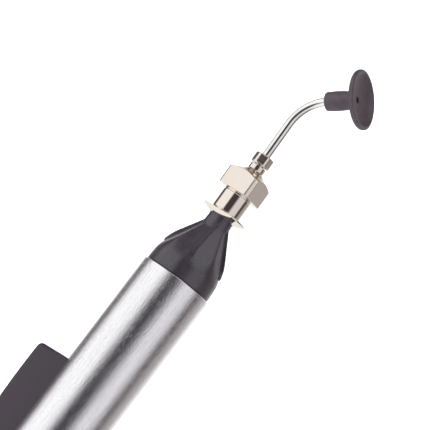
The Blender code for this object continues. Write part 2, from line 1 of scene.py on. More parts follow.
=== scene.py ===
import sys
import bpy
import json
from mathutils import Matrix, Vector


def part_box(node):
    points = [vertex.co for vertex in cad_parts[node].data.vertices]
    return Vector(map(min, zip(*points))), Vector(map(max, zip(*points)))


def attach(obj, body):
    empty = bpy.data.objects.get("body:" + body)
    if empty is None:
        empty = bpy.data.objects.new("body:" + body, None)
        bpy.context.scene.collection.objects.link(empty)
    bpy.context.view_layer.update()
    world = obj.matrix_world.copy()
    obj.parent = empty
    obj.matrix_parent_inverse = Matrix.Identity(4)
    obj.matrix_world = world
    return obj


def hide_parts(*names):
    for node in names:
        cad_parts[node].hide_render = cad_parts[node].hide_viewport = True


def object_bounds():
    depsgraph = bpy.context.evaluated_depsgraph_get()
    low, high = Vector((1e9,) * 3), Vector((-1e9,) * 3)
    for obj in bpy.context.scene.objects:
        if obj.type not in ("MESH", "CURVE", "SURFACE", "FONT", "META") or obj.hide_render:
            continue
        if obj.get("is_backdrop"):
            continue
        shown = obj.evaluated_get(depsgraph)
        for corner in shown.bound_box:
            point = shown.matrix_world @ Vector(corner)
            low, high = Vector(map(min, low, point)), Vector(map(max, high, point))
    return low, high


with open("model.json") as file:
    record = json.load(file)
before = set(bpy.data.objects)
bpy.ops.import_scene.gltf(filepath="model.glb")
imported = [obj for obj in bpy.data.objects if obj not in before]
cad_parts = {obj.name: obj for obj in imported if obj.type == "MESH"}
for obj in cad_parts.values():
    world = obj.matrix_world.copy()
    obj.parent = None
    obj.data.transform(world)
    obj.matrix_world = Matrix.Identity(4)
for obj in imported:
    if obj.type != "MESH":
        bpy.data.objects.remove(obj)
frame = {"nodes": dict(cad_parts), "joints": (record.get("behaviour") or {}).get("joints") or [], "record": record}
CAD_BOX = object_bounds()

"""Looks of the vacuum pick-up pen: fine meshes and finishes around the fixed CAD frame.

Sizes are in millimetres unless a name says otherwise, and MM turns them into metres. "Ahead" is a
distance along the pen from the front end of its barrel.
"""

import json
import logging
from dataclasses import dataclass, field
from enum import Enum
from math import acos, cos, degrees, pi, radians, sin, tan
from typing import Sequence, Union

import bmesh
import bpy
import numpy as np
from mathutils import Matrix, Vector

LOG = logging.getLogger("vacuum_pen")
MM = 0.001
SHARP = radians(35)
TURN = 2 * pi

Colour = tuple[float, float, float]
Value = Union["Signal", float, tuple]
Corner = tuple[float, ...]
Points = np.ndarray


class Body(str, Enum):
    """The moving bodies of the pen."""

    BARREL = "barrel"
    LEVER = "lever"
    HEAD = "head"
    CUP = "cup"
    REAR_CAP = "rear_cap"


class Slot(str, Enum):
    """Names of the record's material slots."""

    ALUMINIUM = "satin_aluminium"
    NOSE_PLASTIC = "black_moulded_plastic"
    LEVER_PLASTIC = "black_lever_plastic"
    NICKEL = "nickel_plated_brass"
    STEEL = "steel"
    CUP_RUBBER = "black_rubber"
    SEAL_RUBBER = "seal_rubber"
    BULB_RUBBER = "red_rubber"
    SILICONE = "silicone"


# ---------------------------------------------------------------------------------------------------
# Shader graphs
# ---------------------------------------------------------------------------------------------------


class Signal:
    """A shader socket whose Python operators add the nodes that work the sum out."""

    def __init__(self, graph: "Graph", socket: bpy.types.NodeSocket) -> None:
        """Wrap an output socket of a node in the graph."""
        self.graph = graph
        self.socket = socket

    @property
    def is_vector(self) -> bool:
        """Whether the socket carries a vector or a colour."""
        return self.socket.type in {"VECTOR", "RGBA"}

    def _combine(self, operation: str, first: Value, second: Value) -> "Signal":
        """Add a Math node, or a Vector Math node where either side is a vector.

        Args:
            operation: The node's operation, such as "ADD".
            first: The left side.
            second: The right side.

        Returns:
            The node's result.
        """
        sides = (first, second)
        vector = any(isinstance(v, tuple) or (isinstance(v, Signal) and v.is_vector) for v in sides)
        kind = "ShaderNodeVectorMath" if vector else "ShaderNodeMath"
        if vector:
            first, second = (v if isinstance(v, (Signal, tuple)) else (v,) * 3 for v in sides)
        return self.graph.node(kind, {"operation": operation}, {0: first, 1: second})

    def __add__(self, other: Value) -> "Signal":
        """Sum."""
        return self._combine("ADD", self, other)

    def __radd__(self, other: Value) -> "Signal":
        """Sum with a value on the left."""
        return self._combine("ADD", other, self)

    def __sub__(self, other: Value) -> "Signal":
        """Difference."""
        return self._combine("SUBTRACT", self, other)

    def __rsub__(self, other: Value) -> "Signal":
        """Difference from a value on the left."""
        return self._combine("SUBTRACT", other, self)

    def __mul__(self, other: Value) -> "Signal":
        """Product."""
        return self._combine("MULTIPLY", self, other)

    def __rmul__(self, other: Value) -> "Signal":
        """Product with a value on the left."""
        return self._combine("MULTIPLY", other, self)

    def wave(self) -> "Signal":
        """Sine of this signal, raised to run from 0 to 1."""
        return 0.5 + 0.5 * self.graph.node("ShaderNodeMath", {"operation": "SINE"}, {0: self})

    def step(self, low: float, high: float) -> "Signal":
        """Rise smoothly from 0 at low to 1 at high.

        Args:
            low: Where the rise starts.
            high: Where the rise ends.

        Returns:
            The signal as a mask from 0 to 1.
        """
        inputs = {"Value": self, "From Min": low, "From Max": high}
        return self.graph.node("ShaderNodeMapRange", {"interpolation_type": "SMOOTHSTEP"}, inputs)

    def blend(self, low: Value, high: Value) -> "Signal":
        """Mix two colours by this mask.

        Args:
            low: The colour where the mask is 0.
            high: The colour where the mask is 1.

        Returns:
            The mixed colour.
        """
        inputs = {"Factor": self, "A": low, "B": high}
        return self.graph.node("ShaderNodeMix", {"data_type": "RGBA"}, inputs, "Result")


class Graph:
    """The node tree of a material or a world, built from Signals."""

    def __init__(self, owner: Union[bpy.types.Material, bpy.types.World]) -> None:
        """Empty the owner's node tree.

        Args:
            owner: The material or world that the nodes are made in.
        """
        owner.use_nodes = True
        self.owner = owner
        self.tree = owner.node_tree
        self.tree.nodes.clear()

    def node(self, kind: str, settings: dict | None = None, inputs: dict | None = None,
             output: Union[str, int] = 0) -> Signal:
        """Add one node.

        Args:
            kind: The node's type, such as "ShaderNodeTexNoise".
            settings: The node's own properties, set before its sockets. "stops" fills a ramp.
            inputs: Values or Signals by socket name or index.
            output: The output socket to return, by name or index.

        Returns:
            The chosen output.
        """
        made = self.tree.nodes.new(kind)
        for name, value in (settings or {}).items():
            if name == "stops":
                self._fill(made.color_ramp, value)
            else:
                setattr(made, name, value)
        for name, value in (inputs or {}).items():
            self._set(self._socket(made.inputs, name), value)
        return Signal(self, self._socket(made.outputs, output)) if len(made.outputs) else None

    @staticmethod
    def _fill(ramp: bpy.types.ColorRamp, stops: Sequence[tuple[float, Colour]]) -> None:
        """Give a colour ramp its stops, each a place from 0 to 1 and a colour."""
        while len(ramp.elements) > 1:
            ramp.elements.remove(ramp.elements[-1])
        ramp.elements[0].position = stops[0][0]
        ramp.elements[0].color = (*stops[0][1], 1.0)
        for place, colour in stops[1:]:
            ramp.elements.new(place).color = (*colour, 1.0)

    @staticmethod
    def _socket(sockets: bpy.types.bpy_prop_collection,
                name: Union[str, int]) -> bpy.types.NodeSocket:
        """Find the enabled socket of that name or index."""
        if isinstance(name, int):
            return sockets[name]
        return next(s for s in sockets if s.name == name and s.enabled)

    def _set(self, socket: bpy.types.NodeSocket, value: Value) -> None:
        """Link a Signal to a socket, or set its value."""
        if isinstance(value, Signal):
            self.tree.links.new(value.socket, socket)
        elif isinstance(value, tuple) and socket.type == "RGBA":
            socket.default_value = (*value, 1.0)
        else:
            socket.default_value = value

    def place(self, stretch: Sequence[float] = (1.0, 1.0, 1.0)) -> Signal:
        """Give a point's place in the row frame, in millimetres times a stretch for each axis."""
        where = self.node("ShaderNodeTexCoord", output="Object")
        return where * tuple(s / MM for s in stretch)

    def along(self) -> Signal:
        """Give a point's place along the pen, in millimetres ahead of the barrel's front end."""
        parts = {"Vector": self.place()}
        return self.node("ShaderNodeSeparateXYZ", None, parts, "X") - BARREL_FRONT

    def noise(self, where: Signal, scale: float, detail: float = 2.0, rough: float = 0.5) -> Signal:
        """Give a noise from 0 to 1 whose scale is in features per millimetre."""
        inputs = {"Vector": where, "Scale": scale, "Detail": detail, "Roughness": rough}
        return self.node("ShaderNodeTexNoise", None, inputs, "Fac")

    def cells(self, where: Signal, scale: float) -> Signal:
        """Give the distance to the nearest of scattered points, in cell sizes."""
        return self.node("ShaderNodeTexVoronoi", None, {"Vector": where, "Scale": scale}, "Distance")

    def bump(self, height: Signal, depth: float, normal: Signal | None = None) -> Signal:
        """Turn a height into a normal.

        Args:
            height: The height, from 0 to 1.
            depth: How many millimetres a height of 1 is.
            normal: A normal to start from.

        Returns:
            The bumped normal.
        """
        inputs = {"Height": height, "Distance": depth * MM, "Strength": 1.0}
        if normal is not None:
            inputs["Normal"] = normal
        return self.node("ShaderNodeBump", None, inputs, "Normal")

    def finish(self, **sockets: Value) -> bpy.types.Material:
        """Add the Principled shader and the output.

        Args:
            sockets: The shader's inputs, with underscores for spaces in their names.

        Returns:
            The finished material.
        """
        inputs = {name.replace("_", " "): value for name, value in sockets.items()}
        shader = self.node("ShaderNodeBsdfPrincipled", None, inputs, "BSDF")
        self.node("ShaderNodeOutputMaterial", None, {"Surface": shader})
        return self.owner


def tinted(colour: Colour, factor: float) -> Colour:
    """Scale a colour's brightness."""
    return tuple(c * factor for c in colour)


# ---------------------------------------------------------------------------------------------------
# Finishes
# ---------------------------------------------------------------------------------------------------


@dataclass(frozen=True)
class BlastedAluminium:
    """Bead-blasted and clear-anodised aluminium, with a fine grain and a faint drawing direction."""

    colour: Colour = (0.93, 0.925, 0.945)
    roughness: float = 0.15
    grain_scale: float = 4.8
    grain_depth: float = 0.058

    def material(self, name: str) -> bpy.types.Material:
        """Make the finish as a material of that name."""
        graph = Graph(bpy.data.materials.new(name))
        grain = graph.noise(graph.place(), self.grain_scale, 3.0, 0.62)
        pits = graph.cells(graph.place(), self.grain_scale * 0.7)
        drawn = graph.noise(graph.place((0.05, 1.0, 1.0)), 2.2, 2.0)
        handled = graph.noise(graph.place(), 0.11, 3.0)
        shade = (0.7 * grain + 0.3 * drawn).step(0.30, 0.62)
        colour = shade.blend(tinted(self.colour, 0.82), self.colour)
        rough = self.roughness + 0.10 * (grain - 0.5) + 0.05 * handled.step(0.4, 0.7)
        height = 0.75 * grain + 0.25 * pits.step(0.0, 0.45)
        return graph.finish(Base_Color=colour, Metallic=1.0, Roughness=rough,
                            Normal=graph.bump(height, self.grain_depth))


@dataclass(frozen=True)
class MouldedPlastic:
    """Injection-moulded plastic with a spark-eroded grain, faint flow mottling and dust specks."""

    colour: Colour = (0.022, 0.017, 0.025)
    roughness: float = 0.31
    specular: float = 0.8
    grain_scale: float = 5.0
    grain_depth: float = 0.006
    mottling: float = 0.35
    specks: float = 0.0

    def material(self, name: str) -> bpy.types.Material:
        """Make the finish as a material of that name."""
        graph = Graph(bpy.data.materials.new(name))
        grain = graph.noise(graph.place(), self.grain_scale, 2.0, 0.6)
        flow = graph.noise(graph.place((0.4, 1.0, 1.0)), 0.45, 4.0, 0.55)
        mottle = flow.step(0.35, 0.68)
        colour = mottle.blend(tinted(self.colour, 1.0 - self.mottling / 2),
                              tinted(self.colour, 1.0 + self.mottling / 2))
        if self.specks:
            dust = 1.0 - graph.cells(graph.place(), 2.6).step(0.05, 0.11)
            worn = dust * graph.noise(graph.place(), 0.5, 1.0).step(0.50, 0.60)
            colour = (worn * self.specks).blend(colour, tinted(self.colour, 5.0))
        rough = self.roughness + 0.10 * (mottle - 0.5) + 0.06 * (grain - 0.5)
        return graph.finish(Base_Color=colour, Roughness=rough, Specular_IOR_Level=self.specular,
                            Normal=graph.bump(grain, self.grain_depth))


@dataclass(frozen=True)
class PlatedNickel:
    """Bright nickel plate over turned brass, with milled flats between two places along the pen."""

    colour: Colour = (0.83, 0.755, 0.68)
    roughness: float = 0.07
    flat_roughness: float = 0.22
    milled: tuple[float, float] = (17.0, 20.4)
    turning_pitch: float = 0.16

    def material(self, name: str) -> bpy.types.Material:
        """Make the finish as a material of that name."""
        graph = Graph(bpy.data.materials.new(name))
        ahead = graph.along()
        flats = ahead.step(self.milled[0] - 0.1, self.milled[0])
        flats = flats * (1.0 - ahead.step(self.milled[1], self.milled[1] + 0.1))
        cloud = graph.noise(graph.place(), 0.7, 3.0)
        stain = graph.noise(graph.place(), 2.6, 3.0).step(0.55, 0.8)
        pits = 1.0 - graph.cells(graph.place((1.0, 1.3, 1.3)), 1.1).step(0.03, 0.09)
        chatter = graph.noise(graph.place((1.0, 3.0, 3.0)), 1.4, 2.0)
        turned = (ahead * (TURN / self.turning_pitch) + 3.0 * chatter).wave()
        milled = graph.noise(graph.place((0.9, 5.0, -3.4)), 2.0, 3.0, 0.65)
        spots = pits * cloud.step(0.50, 0.56)
        colour = stain.blend(self.colour, tinted(self.colour, 0.90))
        colour = (spots * 0.85).blend(colour, (0.10, 0.085, 0.08))
        rough = self.roughness + (self.flat_roughness - self.roughness) * flats
        rough = rough + 0.05 * cloud + 0.3 * spots
        lathe_marks = graph.bump(turned * (1.0 - flats), 0.0012)
        mill_marks = graph.bump(milled * flats, 0.013, lathe_marks)
        return graph.finish(Base_Color=colour, Metallic=1.0, Roughness=rough, Normal=mill_marks)


@dataclass(frozen=True)
class DrawnSteel:
    """Drawn stainless steel, with fine scratches along its length."""

    colour: Colour = (0.92, 0.90, 0.88)
    roughness: float = 0.09
    stretch: Colour = (0.12, 1.0, 1.0)

    def material(self, name: str) -> bpy.types.Material:
        """Make the finish as a material of that name."""
        graph = Graph(bpy.data.materials.new(name))
        scratch = graph.noise(graph.place(self.stretch), 9.0, 3.0, 0.7)
        cloud = graph.noise(graph.place(), 0.6, 2.0)
        colour = cloud.step(0.35, 0.7).blend(self.colour, tinted(self.colour, 0.88))
        rough = self.roughness + 0.12 * scratch.step(0.5, 0.85) + 0.04 * cloud
        return graph.finish(Base_Color=colour, Metallic=1.0, Roughness=rough,
                            Normal=graph.bump(scratch, 0.0012))


@dataclass(frozen=True)
class MouldedRubber:
    """Moulded rubber with a dusty, finely pebbled skin."""

    colour: Colour = (0.040, 0.028, 0.037)
    roughness: float = 0.40
    pebble_scale: float = 4.5
    pebble_depth: float = 0.05
    dust: float = 0.30
    clear: float = 0.0

    def material(self, name: str) -> bpy.types.Material:
        """Make the finish as a material of that name."""
        graph = Graph(bpy.data.materials.new(name))
        pebble = graph.noise(graph.place(), self.pebble_scale, 3.0, 0.6)
        bloom = graph.noise(graph.place(), 0.8, 4.0, 0.6)
        dusty = (0.6 * bloom + 0.4 * pebble).step(0.38, 0.70)
        colour = dusty.blend(tinted(self.colour, 1.0 - self.dust / 2),
                             tinted(self.colour, 1.0 + self.dust))
        rough = self.roughness + 0.12 * (bloom - 0.5)
        return graph.finish(Base_Color=colour, Roughness=rough, IOR=1.45, Specular_IOR_Level=0.75,
                            Subsurface_Weight=self.clear,
                            Normal=graph.bump(pebble, self.pebble_depth))


# ---------------------------------------------------------------------------------------------------
# Geometry
# ---------------------------------------------------------------------------------------------------


@dataclass(frozen=True)
class Axis:
    """A line that pieces are turned about, with a direction across it where angles start."""

    origin: Points
    along: Points
    zero: Points

    @property
    def quarter(self) -> Points:
        """The direction a quarter turn on from the zero direction."""
        return np.cross(self.along, self.zero)

    def at(self, along: float, across: float = 0.0, up: float = 0.0) -> Points:
        """Give the point at those distances along the axis and in its two cross directions."""
        return self.origin + self.along * along + self.zero * across + self.quarter * up

    def ring(self, along: Points, radius: Points, angles: Points) -> Points:
        """Give points round the axis; along and radius are numbers or one value for each angle."""
        outward = np.outer(np.cos(angles), self.zero) + np.outer(np.sin(angles), self.quarter)
        along = np.broadcast_to(along, angles.shape)
        radius = np.broadcast_to(radius, angles.shape)
        return self.origin + along[:, None] * self.along + radius[:, None] * outward

    def moved(self, along: float = 0.0, across: float = 0.0) -> "Axis":
        """Give the same axis with its origin moved."""
        return Axis(self.at(along, across), self.along, self.zero)


class Skin(Enum):
    """How a stack of rings closes into one body."""

    LOOP = "the last ring joins the first"
    CAPPED = "each end ring is filled"


def unit(vector: Points) -> Points:
    """Scale a vector to length 1."""
    return vector / np.linalg.norm(vector)


def even_angles(count: int) -> Points:
    """Give evenly spaced angles for one turn."""
    return np.arange(count) * TURN / count


def soft_min(one: Points, two: Points, width: float) -> Points:
    """Give the lower of two heights, with their meeting rounded over that width."""
    return 0.5 * (one + two - np.sqrt((one - two) ** 2 + width ** 2))


def soft_max(one: Points, two: Points, width: float) -> Points:
    """Give the higher of two heights, with their meeting rounded over that width."""
    return 0.5 * (one + two + np.sqrt((one - two) ** 2 + width ** 2))


def rise(value: Points, low: float, high: float) -> Points:
    """Rise smoothly from 0 at low to 1 at high."""
    share = np.clip((np.asarray(value, float) - low) / (high - low), 0, 1)
    return share * share * (3 - 2 * share)


def rounded(corners: Sequence[Corner], steps: int = 5) -> list[Corner]:
    """Round the corners of a profile.

    Args:
        corners: Points, each with its place along, its radius and, where it is rounded, how far
            the rounding reaches from the corner along both sides.
        steps: Segments in each rounding.

    Returns:
        The profile's points.
    """
    out: list[Corner] = []
    for k, corner in enumerate(corners):
        here = np.array(corner[:2], float)
        if len(corner) == 2:
            out.append(tuple(here))
            continue
        before = np.array(corners[k - 1][:2], float) - here
        after = np.array(corners[(k + 1) % len(corners)][:2], float) - here
        reach = min(corner[2], np.linalg.norm(before) * 0.49, np.linalg.norm(after) * 0.49)
        start, end = here + unit(before) * reach, here + unit(after) * reach
        for share in np.linspace(0, 1, steps + 1):
            bend = (1 - share) ** 2 * start + 2 * share * (1 - share) * here + share ** 2 * end
            out.append(tuple(bend))
    return out


def flowing(points: Sequence[Corner], steps: int = 6) -> list[Corner]:
    """Draw a smooth line through points (a Catmull-Rom curve with that many steps a span)."""
    known = np.array([points[0], *points, points[-1]], float)
    out = []
    for a, b, c, d in zip(known, known[1:], known[2:], known[3:]):
        for share in np.arange(steps) / steps:
            out.append(tuple(0.5 * (2 * b + (c - a) * share
                                    + (2 * a - 5 * b + 4 * c - d) * share ** 2
                                    + (3 * b - a - 3 * c + d) * share ** 3)))
    return [*out, tuple(known[-1])]


def new_piece(name: str, mesh: bpy.types.Mesh) -> bpy.types.Object:
    """Put a mesh in the scene as a piece."""
    piece = bpy.data.objects.new(name, mesh)
    bpy.context.scene.collection.objects.link(piece)
    return piece


def skin(name: str, rings: Sequence[Points], close: Skin = Skin.LOOP) -> bpy.types.Object:
    """Skin a stack of rings of points, all with the same number of points.

    Args:
        name: The piece's name.
        rings: The rings, in millimetres.
        close: How the stack closes.

    Returns:
        One closed body.
    """
    stack = np.array(rings, float)
    count, across = stack.shape[:2]
    index = np.arange(count * across).reshape(count, across)
    if close is Skin.LOOP:
        here, there = index, np.roll(index, -1, axis=0)
    else:
        here, there = index[:-1], index[1:]
    quads = np.stack([here, np.roll(here, -1, axis=1), np.roll(there, -1, axis=1), there], axis=-1)
    faces = quads.reshape(-1, 4).tolist()
    if close is Skin.CAPPED:
        faces += [index[0].tolist(), index[-1].tolist()]
    mesh = bpy.data.meshes.new(name)
    mesh.from_pydata((stack.reshape(-1, 3) * MM).tolist(), [], faces)
    shape = bmesh.new()
    shape.from_mesh(mesh)
    bmesh.ops.remove_doubles(shape, verts=shape.verts, dist=1e-8)
    bmesh.ops.recalc_face_normals(shape, faces=shape.faces)
    shape.to_mesh(mesh)
    shape.free()
    return new_piece(name, mesh)


def turned(name: str, axis: Axis, profile: Sequence[Corner], columns: int = 128) -> bpy.types.Object:
    """Turn a closed profile of (along, radius) points about an axis."""
    angles = even_angles(columns)
    return skin(name, [axis.ring(along, radius, angles) for along, radius in profile])


def swept(name: str, path: Points, side: Points, radius: float, bore: float,
          columns: int = 40) -> bpy.types.Object:
    """Sweep a round tube with a bore along a flat path.

    Args:
        name: The piece's name.
        path: Points of the path, in millimetres.
        side: The direction square to the path's plane.
        radius: The tube's outer radius.
        bore: The radius of its bore.
        columns: Points round the tube.

    Returns:
        The tube, with lightly rounded ends.
    """
    heading = np.gradient(path, axis=0)
    heading /= np.linalg.norm(heading, axis=1)[:, None]
    angles, edge = even_angles(columns), (radius - bore) * 0.3

    def ring(k: int, size: float, shift: float = 0.0) -> Points:
        """Give the ring at one point of the path, shifted along it."""
        centre = Axis(path[k] + heading[k] * shift, heading[k], side)
        return centre.ring(0.0, size, angles)

    last = len(path) - 1
    outer = [ring(0, radius - edge), *(ring(k, radius, edge * (k == 0) - edge * (k == last))
                                       for k in range(last + 1)), ring(last, radius - edge)]
    inner = [ring(k, bore) for k in range(last, -1, -1)]
    return skin(name, outer + inner)


def prism(name: str, low: Points, high: Points) -> bpy.types.Object:
    """Join two copies of an outline by straight sides."""
    return skin(name, [low, high], Skin.CAPPED)


def slab(name: str, axis: Axis, outline: Sequence[Corner], half: float) -> bpy.types.Object:
    """Make a prism of an outline in the axis's zero plane, that far to both sides of it."""
    low, high = (np.array([axis.at(x, y, z) for x, y in outline]) for z in (-half, half))
    return prism(name, low, high)


def hole_cutter(name: str, axis: Axis, radius: float) -> bpy.types.Object:
    """Make the cutter of a cross hole."""
    reach = CUTTER_REACH
    return turned(name, axis, [(-reach, 0.0), (-reach, radius), (reach, radius), (reach, 0.0)], 48)


def carve(piece: bpy.types.Object, cutters: Sequence[bpy.types.Object]) -> None:
    """Cut solids out of a piece, which gets a new mesh, and remove the solids.

    Args:
        piece: The piece that is cut.
        cutters: The solids.
    """
    for cutter in cutters:
        modifier = piece.modifiers.new(cutter.name, "BOOLEAN")
        modifier.operation, modifier.solver, modifier.object = "DIFFERENCE", "EXACT", cutter
    bpy.context.view_layer.update()
    done = piece.evaluated_get(bpy.context.evaluated_depsgraph_get())
    mesh = bpy.data.meshes.new_from_object(done)
    piece.modifiers.clear()
    piece.data = mesh
    for cutter in cutters:
        bpy.data.objects.remove(cutter, do_unlink=True)


def dress(piece: bpy.types.Object, body: Body, slot: Slot, material: bpy.types.Material,
          *nodes: str) -> None:
    """Shade a piece, put it on its body, and let it stand for its CAD nodes.

    Args:
        piece: The piece.
        body: The body that it rides on.
        slot: The record's slot for its finish; not used.
        material: Its material.
        nodes: The CAD nodes that it replaces.
    """
    piece.data.materials.clear()
    piece.data.materials.append(material)
    piece.data.shade_smooth()
    piece.data.set_sharp_from_angle(angle=SHARP)
    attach(piece, body.value)
    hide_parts(*nodes)
    LOG.info("%s: %d faces on %s, for %s", piece.name, len(piece.data.polygons), body.value,
             ", ".join(nodes))


# ---------------------------------------------------------------------------------------------------
# Axes of the pen, its head and its cup, read from the frame
# ---------------------------------------------------------------------------------------------------

BARREL_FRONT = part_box("barrel_tube")[1].x / MM
RIM_RADIUS = 4.65  # radius of the cup's rim where the record's mount point lies
PIN_PLACE = (36.5, 2.3)  # the cross pin, along the pen and towards the lever
CUTTER_REACH = 8.0  # half length of a pin hole's cutter
SEAL_SECTION, SEAL_RADIUS, SEAL_GROOVE = 0.48, 4.80, 4.25  # O-rings, and their grooves' floor
SEAL_HALF = 0.65  # half width of a groove
SPIGOT = 5.15  # radius of the spigots that the seals sit on


def joint(name: str) -> dict:
    """Find a joint of the frame."""
    return next(j for j in frame["joints"] if j["name"] == name)


@dataclass(frozen=True)
class Layout:
    """Where the pen's axes lie.

    Attributes:
        pen: The barrel's axis, from the rear end; angles start at the lever.
        head: The axis of the nozzle and the hub, from the barrel's front; angles start where the
            tube bends to.
        cup: The axis of the cup, from its face.
        bend: The angle of the tube's bend.
        corner: How far ahead the tube's two straight lines meet.
        lean: How far the head's axis leans from the pen's.
        lean_start: How far ahead it leaves the pen's axis.
    """

    pen: Axis
    head: Axis
    cup: Axis
    bend: float
    corner: float
    lean: float
    lean_start: float

    @classmethod
    def from_frame(cls) -> "Layout":
        """Work the axes out from the joints and the cup's mount."""
        forward = np.array([1.0, 0.0, 0.0])
        pen = Axis(np.zeros(3), forward, np.cross(-np.array(joint("lever_press")["axis"]), forward))
        turn, place = np.array(joint("head_turn")["axis"]), np.array(joint("head_turn")["pos_m"]) / MM
        crossing = place - turn * place[1] / turn[1]
        lean_start = crossing[0] - BARREL_FRONT
        pull = unit(np.array(joint("cup_pull")["axis"]))
        towards = unit(pull - turn * (pull @ turn))
        head = Axis(crossing - turn * lean_start, turn, towards)
        bend = acos(pull @ turn)
        rim = next(m for m in frame["record"]["mounts"] if m["name"] == "cup_rim")
        side = cos(bend) * towards - sin(bend) * turn
        centre = np.array(rim["pos_m"]) / MM - RIM_RADIUS * side
        reach = (centre - head.origin) @ towards / sin(bend)
        corner = (centre - head.origin) @ turn - reach * cos(bend)
        LOG.info("head leans %.2f deg; bend %.1f deg, %.2f ahead; face %.2f on",
                 degrees(acos(turn[0])), degrees(bend), corner, reach)
        return cls(pen, head, Axis(centre, pull, side), bend, corner, acos(turn[0]), lean_start)


# ---------------------------------------------------------------------------------------------------
# Sub-assemblies
# ---------------------------------------------------------------------------------------------------


@dataclass
class Barrel:
    """Satin aluminium tube with the lever's slot and the cross pin."""

    layout: Layout
    radius: float = 6.25
    wall: float = 0.9
    rear: float = 6.15
    front: float = 94.0
    edge: float = 0.09
    slot_ends: tuple[float, float] = (33.3, 74.0)
    slot_half: float = 3.05
    slot_corner: float = 0.5
    slot_depth: tuple[float, float] = (2.0, 9.0)
    pin_radius: float = 0.75
    pin_half: float = 5.6

    def build(self) -> None:
        """Build the tube and the pin."""
        bore = self.radius - self.wall
        edge = self.edge
        profile = rounded([
            (self.front, self.radius - edge), (self.front - edge, self.radius, 0.05),
            (self.rear + edge, self.radius, 0.05), (self.rear, self.radius - edge),
            (self.rear, bore + 0.1), (self.rear + 0.1, bore),
            (self.front - 0.1, bore), (self.front, bore + 0.1)], 3)
        tube = turned("barrel_satin_tube", self.layout.pen, profile, 192)
        carve(tube, [self._slot(), self._pin_hole()])
        dress(tube, Body.BARREL, Slot.ALUMINIUM, BlastedAluminium().material("blasted_aluminium"),
              "barrel_tube")
        self._pin()

    def _slot(self) -> bpy.types.Object:
        """Make the slot's cutter."""
        (rear, front), half, reach = self.slot_ends, self.slot_half, self.slot_corner
        outline = rounded([(rear, -half, reach), (front, -half, reach), (front, half, reach),
                           (rear, half, reach)])
        low, high = (np.array([self.layout.pen.at(x, y, z) for x, z in outline]) for y in self.slot_depth)
        return prism("slot_cutter", low, high)

    def _cross_axis(self) -> Axis:
        """Give the axis of the cross pin."""
        pen = self.layout.pen
        return Axis(pen.at(*PIN_PLACE), pen.quarter, pen.along)

    def _pin_hole(self) -> bpy.types.Object:
        """Make the pin hole's cutter."""
        return hole_cutter("pin_hole_cutter", self._cross_axis(), self.pin_radius + 0.05)

    def _pin(self) -> None:
        """Make the cross pin, with rounded ends."""
        half, radius = self.pin_half, self.pin_radius
        profile = rounded([(half, 0.0), (half, radius, 0.16), (-half, radius, 0.16), (-half, 0.0)])
        pin = turned("lever_cross_pin", self._cross_axis(), profile, 48)
        dress(pin, Body.BARREL, Slot.STEEL, DrawnSteel(stretch=(1.0, 0.3, 0.3)).material("pin_steel"),
              "lever_pin")


